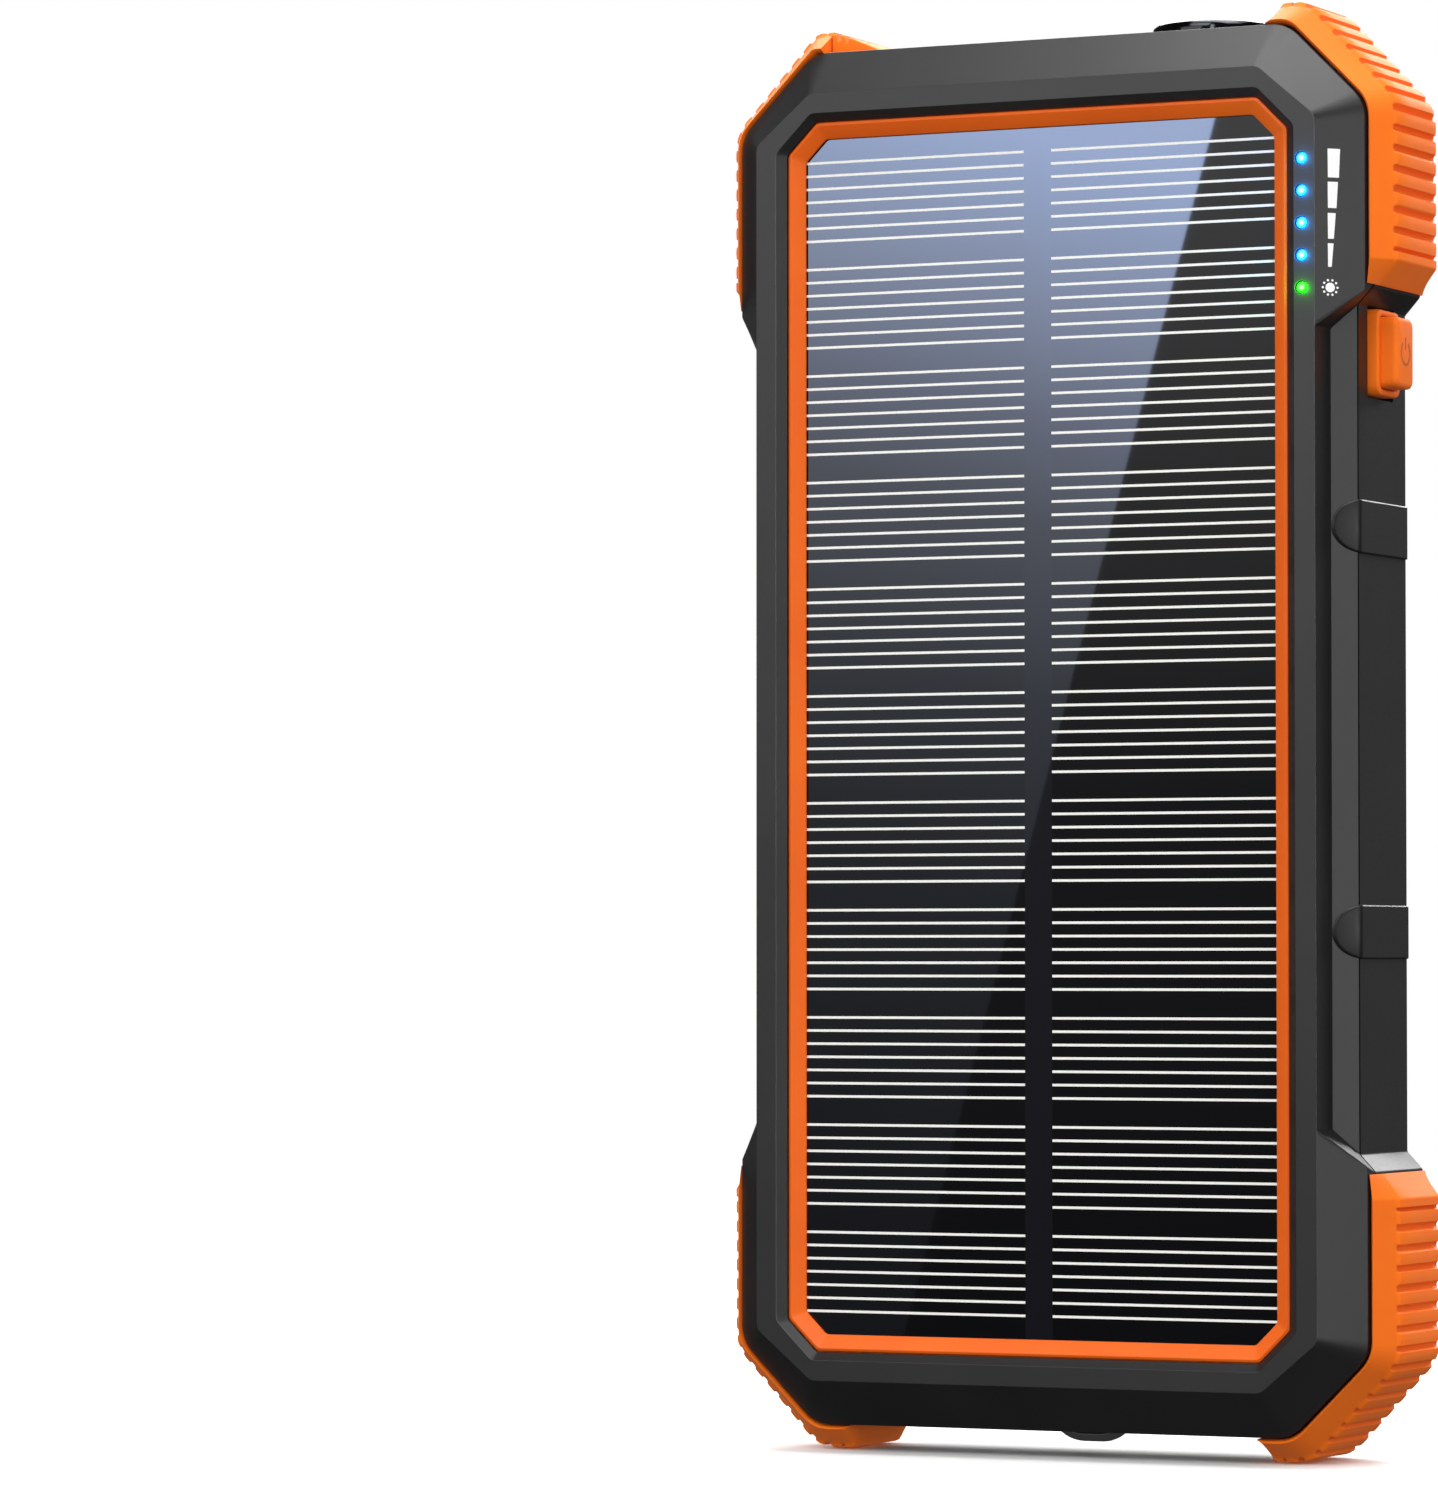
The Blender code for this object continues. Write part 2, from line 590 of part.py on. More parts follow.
def socket_pieces():
    for name, (x, width, y_low, y_high) in sockets().items():
        length = 13.6 if width > 10 else 7.4
        wall = 0.4
        tongue = 0.9 if width > 10 else 0.35
        half = width / 2
        middle = (y_low + y_high) / 2
        bm = bmesh.new()
        add_box(bm, (x - half, x + half), (y_low, y_high), (74.2 - length, 74.2))
        socket = finish(name, bm, "steel")
        mouth = bmesh.new()
        outer = [(x - half + wall, y_low + wall), (x + half - wall, y_low + wall),
                 (x + half - wall, y_high - wall), (x - half + wall, y_high - wall)]
        reach = half - (1.0 if width > 10 else 1.3)
        inner = [(x - reach, middle - tongue), (x + reach, middle - tongue),
                 (x + reach, middle + tongue), (x - reach, middle + tongue)]
        deep = 74.2 - length + 1.6
        add_loft(mouth, [[(a, b, z) for a, b in ring] for ring, z in
                         ((outer, deep), (outer, 76.0), (inner, 76.0), (inner, deep))], closed=True)
        shape(socket, "DIFFERENCE", mouth)
        front = bmesh.new()
        add_box(front, (x - reach - 0.2, x + reach + 0.2),
                (middle - tongue - 0.2, middle + tongue + 0.2), (73.6, 76.0))
        shape(socket, "DIFFERENCE", front)


def board_outline():
    """Main board seen from the front, stepped down clear of the flashlight."""
    return [(-29.6, 34.3), (29.6, 34.3), (29.6, 60.5), (8.4, 60.5), (8.4, 68.8), (-29.6, 68.8)]


def inner_pieces():
    bm = bmesh.new()
    add_prism(bm, board_outline(), "Y", 0.8, 2.2)
    board = finish("main_board", bm, "board")
    holes = bmesh.new()
    board_screws = ((-26.5, 38.0), (26.5, 38.0), (26.5, 57.0))
    for place in board_screws:
        add_rod(holes, place, 1.2, "Y", 0.0, 3.0, 12)
    shape(board, "DIFFERENCE", holes)
    for number, place in enumerate(board_screws, 1):
        bm = bmesh.new()
        add_turned(bm, place, "Y", [(0.85, 4.6), (0.85, 0.5), (1.9, 0.5), (1.9, -0.7)], 12)
        finish("board_screw_" + str(number), bm, "steel", smooth=True)
    socket_pieces()
    layers = (("battery_foam", "foam", -8.7, -7.8, 28.0, (-57.0, 31.0)),
              ("battery_cell_front", "foil", -7.5, -0.4, 29.7, (-58.0, 32.0)),
              ("battery_cell_back", "foil", -0.1, 7.0, 29.7, (-58.0, 32.0)),
              ("ferrite_sheet", "ferrite", 7.3, 7.9, 24.0, (-24.0, 24.0)))
    for name, colour, y_low, y_high, half, zs in layers:
        bm = bmesh.new()
        add_box(bm, (-half, half), (y_low, y_high), zs)
        finish(name, bm, colour)
    bm = bmesh.new()
    add_turned(bm, (0, 0), "Y", [(10.5, 8.2), (21.5, 8.2), (21.5, 9.4), (10.5, 9.4)], 40, closed=True)
    finish("wireless_coil", bm, "copper", smooth=True)
    bm = bmesh.new()
    add_turned(bm, (0, 0), "Y", [(PAD_R, 12.3), (PAD_R, 12.7), (PAD_R - 0.4, 13.0)], 40)
    finish("charging_pad", bm, "case", smooth=True)
    for number, place in enumerate(screw_places(), 1):
        bm = bmesh.new()
        add_turned(bm, place, "Y", [(0.85, SCREW_TIP_Y), (0.85, WELL_FLOOR_Y + GAP),
                                    (1.9, WELL_FLOOR_Y + GAP), (1.9, 9.9), (1.5, 10.3)], 12)
        finish("case_screw_" + str(number), bm, "steel", smooth=True)


def build():
    for old in list(bpy.data.objects):
        bpy.data.objects.remove(old, do_unlink=True)
    front_shell()
    back_shell()
    panel_pieces()
    bumpers()
    port_flap()
    flashlight()
    compass()
    power_button()
    hanging_ring()
    light_pipes()
    inner_pieces()


build()
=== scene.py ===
"""Solar phone charger: the finished look of a rugged pocket power bank, on a pale studio floor.

Lengths are in millimetres about the middle of the case, as in the part itself: x to the power
button, y to the back, z to the flashlight. The piece maker turns them into metres. The studio's
lights and camera are placed in metres, with z from the floor.
"""
import math

import bmesh
import bpy
from mathutils import Matrix, Vector


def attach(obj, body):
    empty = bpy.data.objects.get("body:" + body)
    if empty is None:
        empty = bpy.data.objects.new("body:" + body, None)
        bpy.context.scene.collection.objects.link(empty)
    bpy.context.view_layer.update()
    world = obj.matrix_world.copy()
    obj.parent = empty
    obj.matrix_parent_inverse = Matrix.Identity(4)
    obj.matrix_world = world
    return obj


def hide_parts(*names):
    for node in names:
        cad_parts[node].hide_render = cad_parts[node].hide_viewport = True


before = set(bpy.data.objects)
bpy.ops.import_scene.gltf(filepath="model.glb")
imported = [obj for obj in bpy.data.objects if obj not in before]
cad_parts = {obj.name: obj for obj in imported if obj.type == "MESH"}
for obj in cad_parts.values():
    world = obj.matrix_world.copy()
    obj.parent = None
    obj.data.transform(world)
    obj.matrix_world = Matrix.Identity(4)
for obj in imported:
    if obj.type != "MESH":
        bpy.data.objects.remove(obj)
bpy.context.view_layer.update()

MM = 0.001
HALF_HEIGHT = 80.0                          # over the corner guards
HALF_WIDTH = 40.2
HALF_DEPTH = 13.25

# ---- outlines: (half width, half height, corner cut across, corner cut up) -------------
CREST = (33.65, 72.1, 6.7, 5.65)
CASE = (37.7, 77.2, 9.1, 9.1)
BACK_RIM = (33.0, 71.7, 7.0, 7.2)
BEZEL_IN = (31.2, 69.8, 4.3, 4.3)
WINDOW = (30.2, 68.95, 3.6, 3.6)
VISIBLE = (28.3, 67.0, 2.5, 2.5)
POCKET = (31.0, 69.5, 3.6, 3.6)
SIDE_X = 35.9
WAIST_IN = 43.8
WAIST_OUT = 47.5
SIDE_WAIST = (46.3, 48.2)
FRONT_SLOPE_Y = -8.6
SPLIT_Y = -6.15
CHAMFER_Y = 8.3
GAP = 0.3

SCREW_X = 33.4
CORNER_SCREW_Z = 65.0
SIDE_SCREW_Z = 22.1
RING_END_SCREW = (0.0, -73.4)
PORT_END_SCREW = (4.5, 72.6)
WELL_R = 2.5
WELL_FLOOR_Y = 8.6

FIELD_DEPTH = 1.2
GRIP_DEPTH = 0.8
PANEL_DEPTH = 1.25
RELIEF_R = 25.2
PAD_R = 19.2

END_Z = 77.1
FLAP_X = (-27.7, 5.6)
FLAP_RAMP_X = -20.5
FLAP_HINGE_Z = 79.75
PLATE_X = (5.9, 25.7)
LAMP = (16.0, 1.3)
LAMP_BORE_R = 6.6
BUTTON = (0.6, 41.4)
COMPASS = (0.5, 35.0)
RING_Y = 4.0
WIRE_R = 0.8
LED_X = 32.1
LED_TOP_Z = 61.8
LED_PITCH = 3.52
FRONT_LED = [(LED_X, LED_TOP_Z - i * LED_PITCH) for i in range(5)]
FRONT_LED_COLOURS = ("blue", "blue", "blue", "blue", "green")
REAR_LED = ((-1.1, 57.5), (-1.1, 59.4), (-1.1, 61.3))
REAR_LED_COLOURS = ("green", "blue", "red")
GLOW_COLOUR = {"green": "#35FF22", "blue": "#2F9BFF", "red": "#FF3A22"}

# each socket's centre x, width, and the depth range (y) of its mouth
SOCKET_MOUTHS = ((-20.7, 12.9, -5.2, 0.4), (-6.6, 12.9, -5.2, 0.4), (-20.7, 8.9, 2.6, 5.8),
                 (-6.6, 7.6, 2.6, 5.4))

# ---- panel printing ---------------------------------------------------------------------
CELLS = 11
CELL_PITCH = 12.0
LINES_PER_CELL = 7
LINE_PITCH = 1.47
LINE_WIDTH = 0.28
MIDDLE_BREAK = 3.3

# ---- corner guard ribs ------------------------------------------------------------------
RIB_PITCH = 2.22
RIB_DEPTH = 0.62


# ---- colour and node helpers ----------------------------------------------------------------

def srgb(code):
    """An sRGB hex colour as linear RGBA."""
    linear = []
    for start in (1, 3, 5):
        value = int(code[start:start + 2], 16) / 255
        linear.append(value / 12.92 if value <= 0.04045 else ((value + 0.055) / 1.055) ** 2.4)
    return (*linear, 1.0)


def add_node(material, kind, settings=None, inputs=None):
    """Add a node to the material; each input is a value or another node's output socket."""
    tree = material.node_tree
    node = tree.nodes.new("ShaderNode" + kind)
    for name, value in (settings or {}).items():
        setattr(node, name, value)
    for name, value in (inputs or {}).items():
        if isinstance(value, bpy.types.NodeSocket):
            tree.links.new(value, node.inputs[name])
        else:
            node.inputs[name].default_value = value
    return node


def new_finish(name, shader_inputs):
    """A material with a Principled shader, and its base values set."""
    made = bpy.data.materials.new(name)
    made.use_nodes = True
    made.node_tree.nodes.clear()
    shader = add_node(made, "BsdfPrincipled", inputs=shader_inputs)
    add_node(made, "OutputMaterial", inputs={"Surface": shader.outputs["BSDF"]})
    made.diffuse_color = shader.inputs["Base Color"].default_value
    return made, shader


def wire(material, output, socket):
    material.node_tree.links.new(output, socket)


def place_mm(material):
    """Object coordinates in millimetres, so that texture scales are real sizes."""
    coordinates = add_node(material, "TexCoord")
    scaled = add_node(material, "VectorMath", {"operation": "SCALE"},
                      {0: coordinates.outputs["Object"], "Scale": 1000.0})
    return scaled.outputs["Vector"]


def cloudy_tone(material, place, cloud_mm, colours, span=(0.0, 1.0), detail=2.0, roughness=0.5):
    """Two colours blended in soft clouds of about the given size."""
    clouds = add_node(material, "TexNoise", inputs={
        "Vector": place, "Scale": 1.0 / cloud_mm, "Detail": detail, "Roughness": roughness})
    blend = add_node(material, "ValToRGB", inputs={"Fac": clouds.outputs["Fac"]})
    for stop, position, code in zip(blend.color_ramp.elements, span, colours):
        stop.position = position
        stop.color = srgb(code)
    return blend.outputs["Color"]


def mottle(material, shader, colours, roughness, grain_mm, bump_mm, drift_mm=14.0):
    """Slow colour drift, and a fine grain that varies the roughness and the surface."""
    place = place_mm(material)
    drift = cloudy_tone(material, place, drift_mm, colours, (0.35, 0.65), 3.0, 0.55)
    wire(material, drift, shader.inputs["Base Color"])
    grain = add_node(material, "TexNoise", inputs={
        "Vector": place, "Scale": 1.0 / grain_mm, "Detail": 4.0, "Roughness": 0.6})
    sheen = add_node(material, "MapRange", inputs={
        "Value": grain.outputs["Fac"], "From Min": 0.3, "From Max": 0.7,
        "To Min": roughness[0], "To Max": roughness[1]})
    wire(material, sheen.outputs["Result"], shader.inputs["Roughness"])
    bump = add_node(material, "Bump", inputs={
        "Strength": 1.0, "Distance": bump_mm * MM, "Height": grain.outputs["Fac"]})
    wire(material, bump.outputs["Normal"], shader.inputs["Normal"])


# ---- finishes -------------------------------------------------------------------------------

def moulded_abs_black():
    """Spark-eroded black ABS: satin, with a fine grain that softens every highlight."""
    made, shader = new_finish("moulded_abs_black", {"IOR": 1.53})
    mottle(made, shader, ("#151516", "#19191A"), (0.34, 0.44), 0.16, 0.006)
    return made


def polished_abs_black():
    """Smoother black ABS of the lamp plate, charging disc and compass cup: crisper highlights."""
    made, shader = new_finish("polished_abs_black", {"IOR": 1.53})
    mottle(made, shader, ("#161617", "#1B1B1C"), (0.22, 0.28), 0.3, 0.002)
    return made


def tpe_orange():
    """Soft-touch overmoulded rubber: saturated, broad highlights, faint powdery grain."""
    made, shader = new_finish("tpe_orange_rubber", {
        "IOR": 1.5, "Specular IOR Level": 0.16, "Subsurface Weight": 0.06, "Subsurface Scale": 0.0008,
        "Subsurface Radius": (1.0, 0.35, 0.1), "Sheen Weight": 0.03, "Sheen Roughness": 0.5})
    mottle(made, shader, ("#F56F10", "#F97513"), (0.5, 0.6), 0.22, 0.007)
    return made


def satin_abs_orange():
    """Orange ABS of the window frame: a little glossier than the rubber."""
    made, shader = new_finish("satin_abs_orange", {"IOR": 1.53, "Specular IOR Level": 0.3})
    mottle(made, shader, ("#E8600C", "#EE660E"), (0.34, 0.42), 0.2, 0.003)
    return made


def solar_laminate():
    """Dark silicon cells under a clear PET sheet: black with a sharp wet-looking reflection."""
    made, shader = new_finish("solar_laminate", {
        "Roughness": 0.5, "IOR": 1.45, "Specular IOR Level": 0.0, "Coat Weight": 1.0,
        "Coat Roughness": 0.012, "Coat IOR": 1.5})
    place = place_mm(made)
    apart = add_node(made, "SeparateXYZ", inputs={"Vector": place})
    cells = cloudy_tone(made, place, 20.0, ("#050506", "#0A0A0C"))
    spread = add_node(made, "Math", {"operation": "ABSOLUTE"}, {0: apart.outputs["X"]})
    inside = add_node(made, "Math", {"operation": "LESS_THAN"},
                      {0: spread.outputs["Value"], 1: MIDDLE_BREAK / 2})
    strip = add_node(made, "Mix", {"data_type": "RGBA"}, {
        "Factor": inside.outputs["Value"], 6: cells, 7: srgb("#101014")})
    wire(made, strip.outputs[2], shader.inputs["Base Color"])
    return made


def silver_paste():
    """Fired silver paste of the cells' collector lines: a pale, matt print."""
    made, shader = new_finish("silver_paste_lines", {
        "Metallic": 0.0, "Roughness": 0.5, "Specular IOR Level": 0.2})
    tone = cloudy_tone(made, place_mm(made), 0.4, ("#E6E6E0", "#FAFAF6"))
    wire(made, tone, shader.inputs["Base Color"])
    return made


def plated_metal(name, colours, roughness, grain_mm):
    """A bare or plated metal: its tint and shine come from the values of each one."""
    made, shader = new_finish(name, {"Metallic": 1.0})
    mottle(made, shader, colours, roughness, grain_mm, 0.0008, 6.0)
    return made


def polished_chrome():
    """Bright chrome plate of the pull ring, lamp screws and compass rim: nearly a mirror."""
    return plated_metal("polished_chrome", ("#D8D8DA", "#E2E2E4"), (0.07, 0.13), 0.8)


def smoked_chrome():
    """Dark vapour-plated ring of the flashlight: a mirror, but charcoal."""
    return plated_metal("smoked_chrome", ("#3A3B3D", "#4A4B4E"), (0.1, 0.16), 0.8)


def metallised_reflector():
    """Vapour-coated aluminium inside the lamp: the brightest, smoothest metal here."""
    return plated_metal("metallised_reflector", ("#E8E8EA", "#F0F0F2"), (0.03, 0.06), 1.5)


def black_oxide_steel():
    """Blackened steel of the case screws: dark metal with a dull shine."""
    return plated_metal("black_oxide_steel", ("#3C3C3E", "#4A4A4C"), (0.32, 0.46), 0.12)


def nickel_shell():
    """Nickel-plated steel of the sockets, switch, board screws and pin: pale, soft shine."""
    return plated_metal("nickel_plated_steel", ("#A9A9A6", "#BDBDBA"), (0.22, 0.34), 0.1)


def clear_polycarbonate():
    """Clear moulded polycarbonate of the lenses: colourless, sharp small highlights."""
    made, shader = new_finish("clear_polycarbonate", {
        "Base Color": srgb("#F8FBFC"), "Transmission Weight": 1.0, "IOR": 1.585})
    place = place_mm(made)
    haze = add_node(made, "TexNoise", inputs={"Vector": place, "Scale": 0.8, "Detail": 2.0})
    wear = add_node(made, "MapRange", inputs={
        "Value": haze.outputs["Fac"], "To Min": 0.0, "To Max": 0.04})
    wire(made, wear.outputs["Result"], shader.inputs["Roughness"])
    return made


def lit_lens(name, core, rim, strength):
    """A diffused indicator window with its lamp on: pale centre, saturated edge."""
    made, shader = new_finish(name, {
        "Base Color": srgb(rim), "Roughness": 0.25, "IOR": 1.49, "Emission Strength": strength})
    place = place_mm(made)
    reach = add_node(made, "VectorMath", {"operation": "LENGTH"}, {0: place})
    glow = add_node(made, "ValToRGB", inputs={"Fac": reach.outputs["Value"]})
    glow.color_ramp.elements[0].color = srgb(core)
    glow.color_ramp.elements[0].position = 0.06
    glow.color_ramp.elements[1].color = srgb(rim)
    glow.color_ramp.elements[1].position = 0.42
    wire(made, glow.outputs["Color"], shader.inputs["Emission Color"])
    return made


def white_marking_ink():
    """Pad-printed white ink: flat, in a slightly uneven white."""
    made, shader = new_finish("white_marking_ink", {"Roughness": 0.6, "Specular IOR Level": 0.3})
    tone = cloudy_tone(made, place_mm(made), 1.0 / 6.0, ("#E4E4E2", "#FFFFFF"))
    wire(made, tone, shader.inputs["Base Color"])
    return made


def tinted_plastic(name, colours, roughness, grain_mm, bump_mm):
    """A plastic, foam, ferrite or painted surface that only differs in tint and grain."""
    made, shader = new_finish(name, {"IOR": 1.5})
    mottle(made, shader, colours, roughness, grain_mm, bump_mm)
    return made


def teal_dial_ink():
    """Teal ink of the compass letters, with a faint painted glow: it looks lit against the black
    card.
    """
    made, shader = new_finish("teal_dial_ink", {
        "Base Color": srgb("#27C2A8"), "Roughness": 0.6, "Emission Strength": 0.25})
    tone = cloudy_tone(made, place_mm(made), 0.125, ("#1FA994", "#3FE0C4"))
    wire(made, tone, shader.inputs["Base Color"])
    # the emission is a painted glow, not a lamp
    wire(made, tone, shader.inputs["Emission Color"])
    return made


FINISH = {
    "case": moulded_abs_black(),
    "smooth_case": polished_abs_black(),
    "rubber": tpe_orange(),
    "orange": satin_abs_orange(),
    "panel": solar_laminate(),
    "silver": silver_paste(),
    "chrome": polished_chrome(),
    "smoked": smoked_chrome(),
    "reflector": metallised_reflector(),
    "screw": black_oxide_steel(),
    "nickel": nickel_shell(),
    "clear": clear_polycarbonate(),
    "ink": white_marking_ink(),
    "teal": teal_dial_ink(),
    "dial": tinted_plastic("printed_dial_card", ("#0A0A0A", "#121212"), (0.4, 0.5), 0.3, 0.001),
    # the power mark's darker orange is painted shade, as if the symbol were sunk into the cap
    "icon": tinted_plastic("power_mark_painted_shade", ("#B9500C", "#C4580F"), (0.5, 0.6), 0.2, 0.002),
    "board": tinted_plastic("green_solder_mask", ("#0F4A26", "#14562D"), (0.3, 0.4), 0.5, 0.004),
    "foil": plated_metal("pouch_cell_foil", ("#A8AAAE", "#B8BABE"), (0.28, 0.42), 1.2),
    "foam": tinted_plastic("closed_cell_foam", ("#1B1B1C", "#242425"), (0.9, 0.98), 0.4, 0.08),
    "copper": plated_metal("enamelled_copper_wire", ("#B0602E", "#C06C36"), (0.2, 0.3), 0.4),
    "ferrite": tinted_plastic("sintered_ferrite", ("#1C1C1F", "#242428"), (0.7, 0.85), 0.2, 0.01),
    "blue": lit_lens("indicator_blue_lit", "#F4FCFF", "#1C8CF4", 1.1),
    "green": lit_lens("indicator_green_lit", "#D8FFD0", "#22B818", 1.0),
    "red": lit_lens("indicator_red_lit", "#FF9080", "#D81808", 1.2),
    "lamp": lit_lens("lamp_chip_lit", "#FFFFFF", "#F4F8FF", 30.0),
}

# finish of every inner node that keeps its own mesh, by the start of its name
KEPT = {
    "battery_cell": "foil", "battery_foam": "foam", "board_screw": "nickel",
    "ferrite": "ferrite", "main_board": "board", "micro_usb": "nickel", "tact_switch": "nickel",
    "usb": "nickel", "wireless": "copper", "compass_pin": "nickel",
    "front_light_pipe": "clear", "rear_light_pipe": "clear", "flashlight_led": "board",
}


# ---- mesh helpers ---------------------------------------------------------------------------

def mirrored(right):
    """The right half of a flat outline, followed by its mirror image."""
    return right + [(-x, z) for x, z in reversed(right)]


def box(low_a, high_a, low_b, high_b):
    """The four corners of a flat box."""
    return [(low_a, low_b), (high_a, low_b), (high_a, high_b), (low_a, high_b)]


def octagon(size, y):
    """Eight-sided ring at depth y, counted clockwise from the top right."""
    half_x, half_z, cut_x, cut_z = size
    corner = [(half_x - cut_x, half_z), (half_x, half_z - cut_z)]
    right = corner + [(x, -z) for x, z in reversed(corner)]
    return [(x, y, z) for x, z in mirrored(right)]


def waisted(size, y, waist_x, z_in=WAIST_IN, z_out=WAIST_OUT):
    """The octagon with its long sides drawn in to waist_x between the corner guards."""
    half_x, half_z, cut_x, cut_z = size
    upper = [(half_x - cut_x, half_z), (half_x, half_z - cut_z), (half_x, z_out), (waist_x, z_in)]
    right = upper + [(x, -z) for x, z in reversed(upper)]
    return [(x, y, z) for x, z in mirrored(right)]


def soft_ring(ring, radius, steps=6):
    """Round the corners of a ring that lies across y; waist corners get a smaller radius."""
    y = ring[0][1]
    flat = [(x, z) for x, _, z in ring]
    waists = {i for i in range(len(flat)) if abs(flat[i][1]) < WAIST_OUT + 1.0}
    radii = [min(radius, 0.5) if i in waists else radius for i in range(len(flat))]
    return [(x, y, z) for x, z in rounded(flat, radii, steps)]


def add_loft(bm, rings, closed=False):
    """Skin a row of rings; closed joins the last to the first, otherwise caps close the ends."""
    rows = [[bm.verts.new(p) for p in ring] for ring in rings]
    pairs = list(zip(rows, rows[1:]))
    if closed:
        pairs.append((rows[-1], rows[0]))
    for low, high in pairs:
        for i in range(len(low)):
            j = (i + 1) % len(low)
            bm.faces.new((low[i], low[j], high[j], high[i]))
    if not closed:
        bm.faces.new(rows[0])
        bm.faces.new(rows[-1])


def along(axis, a, b, depth):
    """Place a flat point (a, b) on the plane across an axis."""
    return {"X": (depth, a, b), "Y": (a, depth, b), "Z": (a, b, depth)}[axis]


def add_prism(bm, outline, axis, low, high):
    add_loft(bm, [[along(axis, a, b, d) for a, b in outline] for d in (low, high)])


def circle(centre, radius, segments):
    turn = 2 * math.pi / segments
    return [(centre[0] + radius * math.cos(i * turn), centre[1] + radius * math.sin(i * turn))
            for i in range(segments)]


def add_rod(bm, centre, radius, axis, low, high, segments=32):
    add_prism(bm, circle(centre, radius, segments), axis, low, high)


def add_turned(bm, centre, axis, profile, segments=48, closed=False):
    """Turn a profile of (radius, depth) points about an axis."""
    rings = []
    for radius, depth in profile:
        rings.append([along(axis, a, b, depth) for a, b in circle(centre, radius, segments)])
    add_loft(bm, rings, closed)


def grow(outline, amount):
    """Move every edge of a closed flat outline outwards by the amount."""
    count = len(outline)
    area = sum(outline[i - 1][0] * outline[i][1] - outline[i][0] * outline[i - 1][1]
               for i in range(count))
    turn = 1.0 if area > 0 else -1.0
    grown = []
    for i in range(count):
        before = Vector(outline[i]) - Vector(outline[i - 1])
        after = Vector(outline[(i + 1) % count]) - Vector(outline[i])
        first = Vector((before.y, -before.x)).normalized() * turn
        second = Vector((after.y, -after.x)).normalized() * turn
        share = max(1.0 + first.dot(second), 0.4)
        grown.append(tuple(Vector(outline[i]) + (first + second) * (amount / share)))
    return grown


def rounded(outline, radius, steps=5, closed=True):
    """Replace each corner of a flat outline with a small arc."""
    count = len(outline)
    soft = []
    for i in range(count):
        here = Vector(outline[i])
        if not closed and i in (0, count - 1):
            soft.append(tuple(here))
            continue
        before = Vector(outline[i - 1]) - here
        after = Vector(outline[(i + 1) % count]) - here
        half = before.angle(after) / 2
        size = radius[i] if isinstance(radius, list) else radius
        reach = min(size / max(math.tan(half), 0.05), before.length * 0.45, after.length * 0.45)
        start = here + before.normalized() * reach
        end = here + after.normalized() * reach
        for k in range(steps + 1):
            t = k / steps
            soft.append(tuple((1 - t) ** 2 * start + 2 * t * (1 - t) * here + t * t * end))
    return soft


def make_piece(name, bm, finish, body="case", stands_for=(), origin=(0.0, 0.0, -HALF_HEIGHT),
               smooth_angle=35.0):
    """Turn a mesh in millimetres into a finished object that rides on its body."""
    bmesh.ops.remove_doubles(bm, verts=bm.verts, dist=1e-5)
    bmesh.ops.recalc_face_normals(bm, faces=bm.faces)
    for vert in bm.verts:
        vert.co = (vert.co - Vector(origin)) * MM
    mesh = bpy.data.meshes.new(name)
    bm.to_mesh(mesh)
    bm.free()
    mesh.shade_smooth()
    mesh.set_sharp_from_angle(angle=math.radians(smooth_angle))
    mesh.materials.append(FINISH[finish])
    made = bpy.data.objects.new(name, mesh)
    made.location = (origin[0] * MM, origin[1] * MM, (origin[2] + HALF_HEIGHT) * MM)
    bpy.context.scene.collection.objects.link(made)
    if stands_for:
        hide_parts(*stands_for)
    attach(made, body)
    return made


def cut_or_join(target, operation, bm):
    """Cut the mesh away from the target, or add it, through a Boolean on a hidden guide."""
    bmesh.ops.recalc_face_normals(bm, faces=bm.faces)
    for vert in bm.verts:
        vert.co = (vert.co + Vector((0, 0, HALF_HEIGHT))) * MM
    mesh = bpy.data.meshes.new("guide")
    bm.to_mesh(mesh)
    bm.free()
    guide = bpy.data.objects.new("guide_" + target.name + "_" + str(len(target.modifiers)), mesh)
    bpy.context.scene.collection.objects.link(guide)
    guide.hide_render = True
    guide.display_type = "WIRE"
    step = target.modifiers.new(operation.lower(), "BOOLEAN")
    step.operation = operation
    step.solver = "EXACT"
    step.object = guide


def soften(target, width_mm, segments=2, angle=28.0):
    """Round the edges off, as a mould leaves them."""
    bevel = target.modifiers.new("edge_radius", "BEVEL")
    bevel.width = width_mm * MM
    bevel.segments = segments
    bevel.limit_method = "ANGLE"
    bevel.angle_limit = math.radians(angle)
    bevel.use_clamp_overlap = True
    bevel.harden_normals = True
    bevel.miter_outer = "MITER_ARC"


def turned_piece(name, centre, axis, profile, finish, segments=48, closed=False, **riding):
    """A piece turned about an axis through a flat point."""
    bm = bmesh.new()
    add_turned(bm, centre, axis, profile, segments, closed)
    return make_piece(name, bm, finish, **riding)


def screw_places():
    """Flat places of the ten case screws: eight along the sides, then one in each end."""
    sides = [(sx * SCREW_X, sz * z) for z in (CORNER_SCREW_Z, SIDE_SCREW_Z)
             for sx in (-1, 1) for sz in (-1, 1)]
    return sides + [RING_END_SCREW, PORT_END_SCREW]


# ---- case -----------------------------------------------------------------------------------

